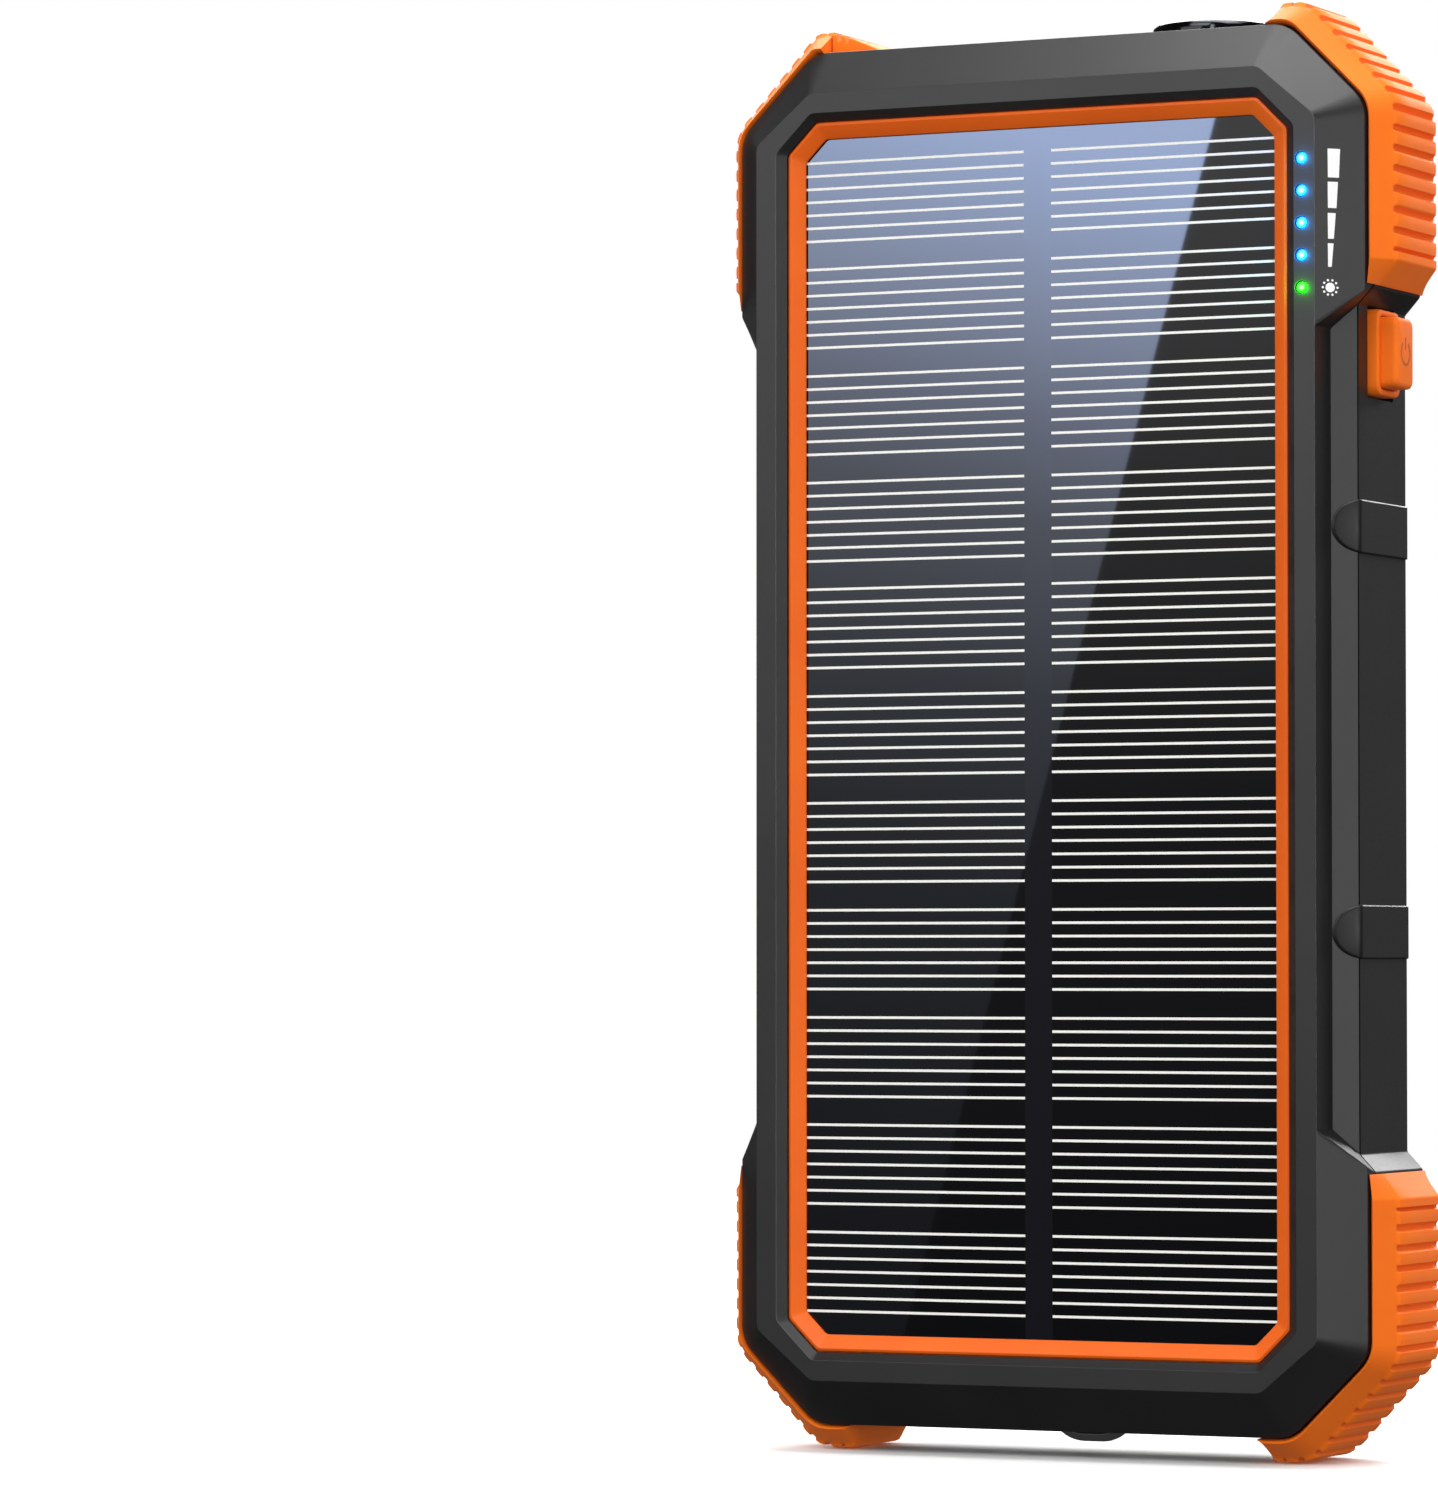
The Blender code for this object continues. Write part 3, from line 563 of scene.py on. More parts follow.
def bezel_shell():
    """Front half of the case: sloping border, crest, and the step down to the window frame."""
    waist_front = CREST[0]
    crest_waist = (WAIST_IN - 0.6, WAIST_IN)
    rings = (
        (waisted(CREST, -HALF_DEPTH, waist_front, *crest_waist), 1.6),
        (waisted(CASE, FRONT_SLOPE_Y, waist_front, 43.6, 47.6), 4.5),
        (waisted(CASE, SPLIT_Y - GAP / 2, SIDE_X, *SIDE_WAIST), 4.5),
        (waisted((31.6, 70.6, 6.0, 6.0), SPLIT_Y - GAP / 2, 31.6), 1.0),
        (waisted(POCKET, -8.6, POCKET[0]), 1.0),
        (waisted(POCKET, -12.1, POCKET[0]), 1.0),
        (waisted(WINDOW, -12.1, WINDOW[0]), 1.0),
        (waisted(WINDOW, -12.4, WINDOW[0]), 1.0),
        (waisted(BEZEL_IN, -HALF_DEPTH, BEZEL_IN[0], *crest_waist), 1.3),
    )
    bm = bmesh.new()
    add_loft(bm, [soft_ring(ring, radius) for ring, radius in rings], closed=True)
    shell = make_piece("bezel_shell", bm, "case", stands_for=["front_shell"])
    holes = bmesh.new()
    for place in FRONT_LED:
        add_rod(holes, place, 0.75, "Y", -14.0, -12.6, 24)
    cut_or_join(shell, "DIFFERENCE", holes)
    soften(shell, 0.22, 3)
    return shell


def side_profile(y):
    """Half width of the waisted side at depth y, from the front slope to the chamfer."""
    front = SPLIT_Y - GAP / 2
    if y >= front:
        return SIDE_X
    run = (front - y) / (front - FRONT_SLOPE_Y)
    return SIDE_X - (SIDE_X - CREST[0]) * min(run, 1.0)


def side_tongues():
    """Clasps over the screw towers on the long sides; each has a rounded front end."""
    centre_y, half = -5.75, 2.95
    for number, (side, up) in enumerate(((-1, -1), (-1, 1), (1, -1), (1, 1)), 1):
        z = up * SIDE_SCREW_Z
        outline = [(8.2, -half), (4.0, -half), (-2.0, -half)]
        for k in range(25):
            angle = math.pi * k / 24
            outline.append((centre_y - 2.85 * math.sin(angle), -half * math.cos(angle)))
        outline += [(-2.0, half), (4.0, half), (8.2, half)]
        rows = []
        for lift, shrink in ((-0.8, 0.0), (0.12, 0.0), (0.24, 0.05), (0.32, 0.17)):
            inset = grow(outline, -shrink) if shrink else outline
            rows.append([(side * (side_profile(y) + lift), y, z + b) for y, b in inset])
        bm = bmesh.new()
        strips = [[bm.verts.new(point) for point in row] for row in rows]
        count = len(outline)
        for low, high in zip(strips, strips[1:]):
            for i in range(count):
                bm.faces.new((low[i], low[(i + 1) % count], high[(i + 1) % count], high[i]))
        for strip in (strips[0], strips[-1]):
            for i in range(count // 2):
                j = count - 1 - i
                if j - i > 1:
                    corners = (strip[i], strip[i + 1], strip[j - 1], strip[j])
                    bm.faces.new(list(dict.fromkeys(corners)))
        make_piece("side_clasp_" + str(number), bm, "case", smooth_angle=30.0)


def relief_arc(start, end, steps=28):
    """Points on the circle round the charging pad, from one angle to another."""
    return [(RELIEF_R * math.cos(start + (end - start) * i / steps),
             RELIEF_R * math.sin(start + (end - start) * i / steps)) for i in range(steps + 1)]


def side_field():
    """Smooth hollow beside the charging pad, on the +X side."""
    reach = math.atan2(20.2, 15.0)
    return [(28.9, -37.0), (28.9, 37.0)] + relief_arc(reach, -reach)


def grip_field():
    """Knurled hollow between the charging pad and the end panel, on the +Z side."""
    right = [(31.0, 43.5), (31.0, 62.5), (25.6, 69.2), (16.9, 48.3), (14.0, 43.2)]
    reach = math.atan2(22.0, 12.4)
    return mirrored(right) + relief_arc(math.pi - reach, reach)


def end_field():
    """Smooth end panel, open towards the end of the case, on the +Z side."""
    return mirrored([(22.4, 75.0), (15.2, 50.8), (12.6, 49.0)])


def pocket_outline():
    """Side view (y, z) of the recess in the top end that the flap and lamp plate fill."""
    return [(SPLIT_Y - 0.6, 84.0), (SPLIT_Y - 0.6, 74.5), (8.0, 74.5),
            (9.65, 72.7), (14.2, 76.7), (14.2, 84.0)]


def add_relief(bm, outline, depth, wall):
    """A cutter with sloping walls: full size at the surface, smaller by the wall at the floor."""
    floor = grow(outline, -wall)
    over = 1.2
    top = grow(outline, wall * over / depth)
    add_loft(bm, [[(a, HALF_DEPTH - depth, b) for a, b in floor],
                  [(a, HALF_DEPTH + over, b) for a, b in top]])


def rim_bands():
    """Cutters that let the band outside each side field fall away towards the field."""
    bm = bmesh.new()
    for side in (-1, 1):
        section = [(28.7, 12.7), (28.7, 14.5), (33.2, 14.5), (33.2, 13.3)]
        outline = [(side * x, y) for x, y in section]
        add_prism(bm, outline, "Z", -39.0, 39.0)
    return bm


def claw_slits():
    """Two tapering slits from each rear window, like scratches."""
    bm = bmesh.new()
    floor = HALF_DEPTH - PANEL_DEPTH
    for x, z in REAR_LED:
        upper = [(x + 1.15, z - 0.62), (x + 1.15, z + 0.68), (x + 6.85, z - 0.8)]
        lower = [(x - 1.15, z - 0.6), (x - 1.15, z + 0.66), (x - 6.65, z + 1.3)]
        for claw in (upper, lower):
            middle = Vector((sum(p[0] for p in claw) / 3, sum(p[1] for p in claw) / 3))
            rows = []
            for y, share in ((floor - 0.6, 0.7), (floor + 0.3, 1.1)):
                rows.append([(*middle.lerp(Vector(p), share), y) for p in claw])
            add_loft(bm, [[(a, y, b) for a, b, y in row] for row in rows])
    return bm


def screw_towers():
    """Blocks behind the clasps and in both ends, which the case screws go into."""
    bm = bmesh.new()
    front, back = -5.9, 10.6
    for x, z in screw_places()[:8]:
        side = math.copysign(1.0, x)
        xs = sorted((side * 30.3, side * 34.85))
        add_prism(bm, box(*xs, z - 3.3, z + 3.3), "Y", front, back)
    x, z = PORT_END_SCREW
    add_prism(bm, box(x - 3.2, x + 3.2, z - 3.2, z + 1.2), "Y", front, back)
    x, z = RING_END_SCREW
    add_prism(bm, box(x - 3.3, x + 3.3, z - 2.2, z + 3.4), "Y", 6.4, back)
    return bm


def relief_fields():
    """Cutters for the hollow fields of the back, mirrored across both middles."""
    bm = bmesh.new()
    for mirror in (-1, 1):
        add_relief(bm, [(mirror * x, z) for x, z in side_field()], FIELD_DEPTH, 0.5)
        add_relief(bm, [(x, mirror * z) for x, z in grip_field()], GRIP_DEPTH, 0.45)
        add_relief(bm, [(x, mirror * z) for x, z in end_field()], PANEL_DEPTH, 0.9)
    return bm


def screw_wells():
    bm = bmesh.new()
    for place in screw_places():
        add_rod(bm, place, WELL_R, "Y", WELL_FLOOR_Y, 14.5, 32)
    return bm


def pad_recess():
    """Seat of the charging disc, and the groove that runs round it."""
    bm = bmesh.new()
    add_rod(bm, (0, 0), PAD_R + GAP, "Y", 12.0, 14.5, 72)
    groove = [(22.9, 12.7), (24.3, 12.7), (24.9, 14.5), (22.3, 14.5)]
    add_turned(bm, (0, 0), "Y", groove, 72, closed=True)
    return bm


def end_pocket():
    bm = bmesh.new()
    add_prism(bm, pocket_outline(), "X", FLAP_X[0] - GAP, PLATE_X[1] + GAP)
    return bm


def shell_openings():
    """Sockets, flashlight, button, compass, pull ring and the rear windows."""
    bm = bmesh.new()
    for x, width, y_low, y_high in SOCKET_MOUTHS:
        mouth = box(x - width / 2 - GAP, x + width / 2 + GAP, y_low - GAP, y_high + GAP)
        add_prism(bm, mouth, "Z", 67.0, 76.0)
    add_rod(bm, LAMP, LAMP_BORE_R, "Z", 64.0, 76.0, 48)
    y, z = BUTTON
    add_prism(bm, box(y - 3.9, y + 3.9, z - 5.05, z + 5.05), "X", 31.0, 40.0)
    add_rod(bm, COMPASS, 6.9, "X", -40.0, -31.0, 48)
    add_prism(bm, box(-5.9, 5.9, RING_Y - 1.2, RING_Y + 1.2), "Z", -80.0, -72.5)
    for x, z in REAR_LED:
        add_prism(bm, box(x - 1.2, x + 1.2, z - 0.75, z + 0.75), "Y", 9.0, 14.0)
    return bm


def rear_shell():
    """Back half of the case: chamfered rim, relief fields, screw wells and end openings."""
    bm = bmesh.new()
    inner = (33.4, 73.2, 7.5, 7.5)
    rings = (
        (waisted((31.0, 69.0, 6.5, 6.5), 10.0, 31.0), 1.0),
        (waisted(inner, 6.5, inner[0]), 1.0),
        (waisted(inner, SPLIT_Y + GAP / 2, inner[0]), 1.0),
        (waisted(CASE, SPLIT_Y + GAP / 2, SIDE_X, *SIDE_WAIST), 4.5),
        (waisted(CASE, CHAMFER_Y, SIDE_X, *SIDE_WAIST), 4.0),
        (waisted(BACK_RIM, HALF_DEPTH, BACK_RIM[0], WAIST_IN, WAIST_OUT), 1.6),
    )
    add_loft(bm, [soft_ring(ring, radius) for ring, radius in rings])
    shell = make_piece("rear_shell", bm, "case", stands_for=["back_shell"])
    cut_or_join(shell, "UNION", screw_towers())
    for cutter in (relief_fields, rim_bands, claw_slits, screw_wells, pad_recess, end_pocket,
                   shell_openings):
        cut_or_join(shell, "DIFFERENCE", cutter())
    soften(shell, 0.22, 2, 30.0)


def inside_outline(point, outline):
    """Whether a flat point lies inside a closed outline."""
    within = False
    for i in range(len(outline)):
        (x1, z1), (x2, z2) = outline[i - 1], outline[i]
        if (z1 > point[1]) != (z2 > point[1]):
            if point[0] < (x2 - x1) * (point[1] - z1) / (z2 - z1) + x1:
                within = not within
    return within


def grip_domes():
    """Rows of small round pips that fill both knurled fields, packed in a honeycomb."""
    pitch, row_pitch = 1.75, 1.52
    field = grow(grip_field(), -1.35)
    profile = ((0.72, 0.0), (0.66, 0.22), (0.46, 0.42), (0.2, 0.5))
    bm = bmesh.new()
    floor = HALF_DEPTH - GRIP_DEPTH - 0.02
    for mirror in (-1, 1):
        for row in range(40):
            z = 12.0 + row * row_pitch
            for column in range(-20, 21):
                x = (column + 0.5 * (row % 2)) * pitch
                if not inside_outline((x, z), field) or math.hypot(x, z) < RELIEF_R + 1.2:
                    continue
                rings = []
                for radius, height in profile:
                    rings.append([(a, floor + height, b)
                                  for a, b in circle((x, mirror * z), radius, 10)])
                add_loft(bm, rings)
    make_piece("grip_pips", bm, "case", smooth_angle=60.0)


def charging_pad():
    """Flat round disc of smoother plastic in the middle of the back."""
    profile = [(PAD_R, 12.25), (PAD_R, 12.75), (PAD_R - 0.12, 12.92), (PAD_R - 0.35, 13.0),
               (PAD_R - 1.6, 13.0), (PAD_R - 1.75, 12.9), (PAD_R - 2.0, 12.9), (PAD_R - 2.15, 13.0)]
    turned_piece("charging_disc", (0, 0), "Y", profile, "smooth_case", 96,
                 stands_for=["charging_pad"])


# ---- panel ----------------------------------------------------------------------------------

def window_frame():
    """Orange frame that slopes in from the bezel to the panel."""
    bm = bmesh.new()
    sections = ((WINDOW, -0.12, -12.25), (WINDOW, -0.45, -12.4), (VISIBLE, 0.12, -11.62),
                (VISIBLE, 0.0, -11.5), (VISIBLE, 0.0, -11.2), (POCKET, -GAP, -11.2),
                (POCKET, -GAP, -11.8), (WINDOW, -0.12, -11.8))
    rings = []
    for size, offset, y in sections:
        flat = grow([(x, z) for x, _, z in octagon(size, y)], offset)
        rings.append([(x, y, z) for x, z in rounded(flat, 0.8, 3)])
    add_loft(bm, rings, closed=True)
    frame_piece = make_piece("window_frame", bm, "orange", stands_for=["panel_frame"])
    soften(frame_piece, 0.1, 2)


def solar_face():
    """The laminate: one sheet from the frame's groove down to the cells' backing."""
    bm = bmesh.new()
    add_loft(bm, [octagon(POCKET, -11.15), octagon(POCKET, -9.0)])
    bmesh.ops.scale(bm, vec=(0.99, 1.0, 0.995), verts=bm.verts)
    sheet = make_piece("solar_face", bm, "panel", stands_for=["panel_cover", "solar_panel"])
    soften(sheet, 0.08, 2)
    bm = bmesh.new()
    front, back = -11.166, -11.14
    for cell in range(CELLS):
        middle = (cell - (CELLS - 1) / 2) * CELL_PITCH
        for line in range(LINES_PER_CELL):
            z = middle + (line - (LINES_PER_CELL - 1) / 2) * LINE_PITCH
            cut = max(0.0, abs(z) - (VISIBLE[1] - VISIBLE[3]))
            for side in (-1, 1):
                xs = sorted((side * MIDDLE_BREAK / 2, side * (VISIBLE[0] + 0.4 - cut)))
                bar = box(*xs, z - LINE_WIDTH / 2, z + LINE_WIDTH / 2)
                add_prism(bm, bar, "Y", front, back)
    make_piece("collector_lines", bm, "silver")
    return sheet


# ---- corner guards --------------------------------------------------------------------------

def arc_lengths(points):
    lengths = [0.0]
    for before, here in zip(points, points[1:]):
        lengths.append(lengths[-1] + (Vector(here) - Vector(before)).length)
    return lengths


def resample(points, step):
    """Evenly spaced points along an open flat line."""
    lengths = arc_lengths(points)
    count = max(2, round(lengths[-1] / step))
    even = []
    index = 0
    for i in range(count + 1):
        target = lengths[-1] * i / count
        while index < len(points) - 2 and lengths[index + 1] < target:
            index += 1
        span = lengths[index + 1] - lengths[index]
        share = (target - lengths[index]) / span if span else 0.0
        even.append(tuple(Vector(points[index]).lerp(Vector(points[index + 1]), share)))
    return even


def nearest_on(line, point):
    """The closest point to a flat point on an open line."""
    best = None
    here = Vector(point)
    for a, b in zip(line, line[1:]):
        a, b = Vector(a), Vector(b)
        along_line = b - a
        share = max(0.0, min(1.0, (here - a).dot(along_line) / along_line.length_squared))
        spot = a + along_line * share
        if best is None or (spot - here).length < (best - here).length:
            best = spot
    return best


def corner_guard(name, node, side, up, end_x, end_ramp):
    """Ribbed rubber guard: a smooth sloping front strip, then ribs across the thickness."""
    in_x, in_z = CASE[0] + 0.12, CASE[1] + 0.12
    outer = [(in_x + 0.3, WAIST_OUT + 0.9), (HALF_WIDTH, WAIST_OUT + 3.6), (HALF_WIDTH, 69.0),
             (29.9, HALF_HEIGHT), (end_x + end_ramp, HALF_HEIGHT)]
    if end_ramp > 0.1:
        outer.append((end_x, in_z + 0.6))
    inner = [(in_x, WAIST_OUT + 0.9), (in_x, 68.2), (28.7, in_z), (end_x, in_z)]
    path = resample(rounded(outer, [0.35, 0.4, 5.0, 5.0, 0.8, 0.1][:len(outer)], 10, False),
                    RIB_PITCH / 16)
    base_line = rounded(inner, 4.4, 8, closed=False)
    lengths = arc_lengths(path)
    ramp_a, ramp_b = 4.4, lengths[-1] - (3.2 if end_ramp > 0.1 else 0.6)
    ribs = round((ramp_b - ramp_a) / RIB_PITCH)
    pitch = (ramp_b - ramp_a) / ribs
    #        y, share of the thickness, how much of the rib depth shows
    sections = ((-7.8, 0.0, 0.0), (-8.42, 0.13, 0.0), (-8.47, 0.17, 0.0), (-5.75, 0.76, 0.0),
                (-5.4, 0.83, 0.0), (-5.28, 0.88, 0.25), (-5.16, 0.96, 0.8), (-5.0, 1.0, 1.0),
                (-1.0, 1.0, 1.0), (3.0, 1.0, 1.0), (6.4, 1.0, 1.0), (6.9, 0.98, 0.85),
                (7.35, 0.86, 0.3), (7.9, 0.66, 0.0), (8.3, 0.45, 0.0), (8.3, 0.0, 0.0))
    bm = bmesh.new()
    rings = []
    for point, reach in zip(path, lengths):
        foot = nearest_on(base_line, point)
        out = Vector(point) - foot
        ribbed = ramp_a <= reach <= ramp_b
        phase = (reach - ramp_a) / pitch if ribbed else 0.0
        distance = abs(phase - round(phase)) * pitch
        groove = max(0.0, 1.0 - (distance / 0.4) ** 2) ** 0.6 if ribbed else 0.0
        crown = 0.07 * (1.0 - math.cos(2 * math.pi * phase)) / 2 if ribbed else 0.07
        sunk = (RIB_DEPTH * groove + 0.07 - crown) / max(out.length, 0.3)
        ring = []
        for y, share, rib in sections:
            spot = foot + out * (share - sunk * rib)
            ring.append((side * spot.x, y, up * spot.y))
        rings.append(ring)
    add_loft(bm, rings)
    make_piece(name, bm, "rubber", stands_for=[node], smooth_angle=38.0)


def corner_guards():
    corner_guard("guard_top_left", "bumper_top_left", -1, 1, -FLAP_X[0] + 0.14, 0.0)
    corner_guard("guard_top_right", "bumper_top_right", 1, 1, PLATE_X[1] + GAP, 0.7)
    corner_guard("guard_bottom_left", "bumper_bottom_left", -1, -1, 24.6, 0.7)
    corner_guard("guard_bottom_right", "bumper_bottom_right", 1, -1, 24.6, 0.7)


# ---- top end --------------------------------------------------------------------------------

def end_section(top):
    """Side view (y, z) of the flap or the lamp plate, wrapping on to the back chamfer."""
    corners = [(-5.7, top), (8.3, top), (10.9, 74.25), (9.75, 73.2), (8.2, 74.85), (-5.7, 74.85)]
    return rounded(corners, 0.35, 3)


def end_screw_notch():
    """Cutter that leaves room for the screw between the flap and the lamp plate."""
    bm = bmesh.new()
    add_rod(bm, PORT_END_SCREW, WELL_R + GAP, "Y", 5.5, 16.0, 40)
    return bm


def port_flap():
    """Rubber cover over the sockets, with hinge grooves at one end and a pull tab at the other."""
    hinge, ramp, tab = FLAP_X[0], FLAP_RAMP_X, FLAP_X[1]
    stations = [(hinge, FLAP_HINGE_Z), (hinge + 0.45, FLAP_HINGE_Z - 0.02),
                (hinge + 0.6, FLAP_HINGE_Z - 0.75), (hinge + 0.95, FLAP_HINGE_Z - 0.75),
                (hinge + 1.1, FLAP_HINGE_Z - 0.2), (hinge + 1.5, FLAP_HINGE_Z - 0.3),
                (hinge + 1.65, FLAP_HINGE_Z - 0.95), (hinge + 1.95, FLAP_HINGE_Z - 1.0),
                (hinge + 2.1, FLAP_HINGE_Z - 0.5), (ramp, END_Z), (tab - 0.3, END_Z),
                (tab, END_Z - 0.25)]
    bm = bmesh.new()
    add_loft(bm, [[(x, y, z) for y, z in end_section(top)] for x, top in stations])
    flap = make_piece("flap_cover", bm, "rubber", "port_flap", ["port_flap"],
                      (hinge, 0.0, FLAP_HINGE_Z))
    cut_or_join(flap, "DIFFERENCE", end_screw_notch())
    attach(flap.modifiers[0].object, "port_flap")
    soften(flap, 0.18, 2, 40.0)
    bm = bmesh.new()
    for tip in (-1, 1):
        arrow = [(2.9 + tip * 1.1, -1.9), (2.9 + tip * 0.35, -2.45), (2.9 + tip * 0.35, -1.35)]
        add_prism(bm, arrow, "Z", END_Z - 0.1, END_Z + 0.12)
    add_prism(bm, box(2.4, 3.4, -2.05, -1.75), "Z", END_Z - 0.1, END_Z + 0.1)
    make_piece("flap_pull_mark", bm, "rubber", "port_flap")


def lamp_screw_places():
    return [(LAMP[0] + sx * 8.0, LAMP[1] + sy * 5.6) for sx in (-1, 1) for sy in (-1, 1)]


def flashlight():
    """Lamp plate, smoked ring, reflector, lens, lit chip and four cross-head screws."""
    bm = bmesh.new()
    add_prism(bm, end_section(END_Z), "X", *PLATE_X)
    plate = make_piece("lamp_plate", bm, "smooth_case", stands_for=["flashlight_plate"])
    cut_or_join(plate, "DIFFERENCE", end_screw_notch())
    cuts = bmesh.new()
    add_rod(cuts, LAMP, LAMP_BORE_R, "Z", 73.0, 79.0, 64)
    for place in lamp_screw_places():
        add_rod(cuts, place, 1.35, "Z", 76.3, 79.0, 24)
    cut_or_join(plate, "DIFFERENCE", cuts)
    soften(plate, 0.15, 2, 40.0)
    ring = [(6.3, 70.0), (6.3, 77.2), (7.0, 77.25), (7.0, 77.9), (6.93, 78.3), (6.75, 78.58),
            (6.5, 78.7), (6.3, 78.68), (6.12, 78.5), (6.1, 77.7), (5.9, 77.6), (5.9, 70.0)]
    turned_piece("lamp_ring", LAMP, "Z", ring, "smoked", 72, True, stands_for=["flashlight_bezel"])
    inside = [(2.0 + 3.6 * (k / 12) ** 0.62, 70.3 + 7.0 * (k / 12)) for k in range(13)]
    bowl = list(reversed(inside)) + [(1.7, 70.7)] + [(r - 0.35, depth) for r, depth in inside[1:]]
    turned_piece("lamp_reflector", LAMP, "Z", bowl, "reflector", 64, True,
                 stands_for=["flashlight_reflector"])
    dome = [(5.8, 77.95), (5.8, 78.2), (4.6, 78.38), (3.0, 78.52), (1.0, 78.6)]
    lens = turned_piece("lamp_lens", LAMP, "Z", dome, "clear", 64, stands_for=["flashlight_lens"])
    lens.visible_shadow = False
    chip = [(1.6, 70.35), (1.6, 70.9), (1.25, 71.4), (0.6, 71.7)]
    turned_piece("lamp_chip", LAMP, "Z", chip, "lamp", 32)
    head = [(1.05, 76.5), (1.05, 76.95), (0.95, 77.15), (0.6, 77.32), (0.25, 77.35)]
    for number, place in enumerate(lamp_screw_places(), 1):
        screw = turned_piece("lamp_screw_head_" + str(number), place, "Z", head, "chrome", 28,
                             stands_for=["lamp_screw_" + str(number)])
        cross = bmesh.new()
        add_cross(cross, place, 0.62, 0.19, "Z", 77.0, 77.6, 0.4 + number)
        cut_or_join(screw, "DIFFERENCE", cross)


def add_cross(bm, centre, reach, width, axis, low, high, turn):
    """The recess of a cross-head screw, as one twelve-cornered prism."""
    corners = [(reach, width), (width, width), (width, reach), (-width, reach), (-width, width),
               (-reach, width), (-reach, -width), (-width, -width), (-width, -reach),
               (width, -reach), (width, -width), (reach, -width)]
    cos, sin = math.cos(turn), math.sin(turn)
    outline = [(centre[0] + a * cos - b * sin, centre[1] + a * sin + b * cos) for a, b in corners]
    add_prism(bm, outline, axis, low, high)


def case_screws():
    """Ten screws at the bottom of the wells: plain low domes with a small cross recess."""
    profile = [(0.85, -8.2), (0.85, 8.9), (1.9, 8.9), (1.9, 9.8), (1.75, 10.1), (1.35, 10.27),
               (0.8, 10.3)]
    for number, place in enumerate(screw_places(), 1):
        screw = turned_piece("well_screw_" + str(number), place, "Y", profile, "screw", 32,
                             stands_for=["case_screw_" + str(number)])
        cross = bmesh.new()
        add_cross(cross, place, 1.05, 0.26, "Y", 9.75, 10.6, 0.3 + 0.7 * number)
        cut_or_join(screw, "DIFFERENCE", cross)


# ---- button and ring ------------------------------------------------------------------------

def rounded_square(centre, half_a, half_b, radius, steps=6):
    a, b = centre
    return rounded(box(a - half_a, a + half_a, b - half_b, b + half_b), radius, steps)


def power_button():
    """Upright cap in a raised collar, with the usual broken-ring power symbol on its face, in a
    darker orange that is painted shade.
    """
    half, taller, corner = 2.65, 1.25, 0.9
    clear = 0.12                            # all round the cap, down the collar's opening
    #         x, half width, half height, corner radius: outer wall and rim, then the opening
    collar = [(34.0, 3.6, 4.75, 1.4), (36.5, 3.6, 4.75, 1.4), (36.85, 3.5, 4.65, 1.4),
              (37.0, 3.25, 4.4, 1.2)]
    for x, flare in ((37.0, 0.21), (36.9, 0.06), (36.6, 0.0), (34.0, 0.0)):
        room = clear + flare
        collar.append((x, half + room, half + taller + room, min(corner + room, 1.2)))
    bm = bmesh.new()
    add_loft(bm, [[(x, a, b) for a, b in rounded_square(BUTTON, half_y, half_z, radius)]
                  for x, half_y, half_z, radius in collar], closed=True)
    make_piece("button_collar", bm, "rubber", stands_for=["button_surround"])
    bm = bmesh.new()
    cap = ((34.2, half), (38.3, half), (38.6, 2.57), (38.8, 2.38), (38.88, 2.1))
    add_loft(bm, [[(x, a, b) for a, b in rounded_square(BUTTON, reach, reach + taller, corner)]
                  for x, reach in cap])
    y, z = BUTTON
    origin = (38.9, y, z)
    make_piece("button_cap", bm, "rubber", "power_button", ["power_button"], origin)
    bm = bmesh.new()
    steps, break_half = 24, 38
    arc = [math.radians(90 + break_half + k * (360 - 2 * break_half) / steps)
           for k in range(steps + 1)]
    outline = [(y + 1.45 * math.cos(t), z + 1.45 * math.sin(t)) for t in arc]
    outline += [(y + 1.12 * math.cos(t), z + 1.12 * math.sin(t)) for t in reversed(arc)]
    mark = (38.8, 38.897)
    for k in range(steps):
        quad = [outline[k], outline[k + 1], outline[2 * steps - k], outline[2 * steps + 1 - k]]
        add_prism(bm, quad, "X", *mark)
    add_prism(bm, box(y - 0.16, y + 0.16, z + 0.4, z + 1.7), "X", *mark)
    # the raised mark takes a darker orange: painted shade of a sunk symbol
    make_piece("button_power_mark", bm, "icon", "power_button", origin=origin)


def pull_ring():
    """Round wire bent into a closed loop with straight runs."""
    half, bend = 4.7, 3.6
    low = -HALF_HEIGHT + WIRE_R + 0.9
    high = RING_END_SCREW[1] + 2.2 + WIRE_R + GAP + 9.0
    path = []
    for x, z, start in ((half, high, 0), (-half, high, 90), (-half, low, 180), (half, low, 270)):
        centre_x = x - math.copysign(bend, x)
        centre_z = z - bend if z == high else z + bend
        for i in range(13):
            angle = math.radians(start + 7.5 * i)
            path.append((centre_x + bend * math.cos(angle), centre_z + bend * math.sin(angle)))
    rings = []
    for i in range(len(path)):
        before, after = path[i - 1], path[(i + 1) % len(path)]
        tangent = math.atan2(after[1] - before[1], after[0] - before[0])
        outward = (math.sin(tangent), -math.cos(tangent))
        rings.append([(path[i][0] + WIRE_R * math.cos(t) * outward[0],
                       RING_Y + WIRE_R * math.sin(t),
                       path[i][1] + WIRE_R * math.cos(t) * outward[1])
                      for t in (2 * math.pi * k / 20 for k in range(20))])
    bm = bmesh.new()
    add_loft(bm, rings, closed=True)
    make_piece("pull_ring", bm, "chrome", "hanging_ring", ["hanging_ring"], (0.0, RING_Y, low),
               60.0)


# ---- compass --------------------------------------------------------------------------------

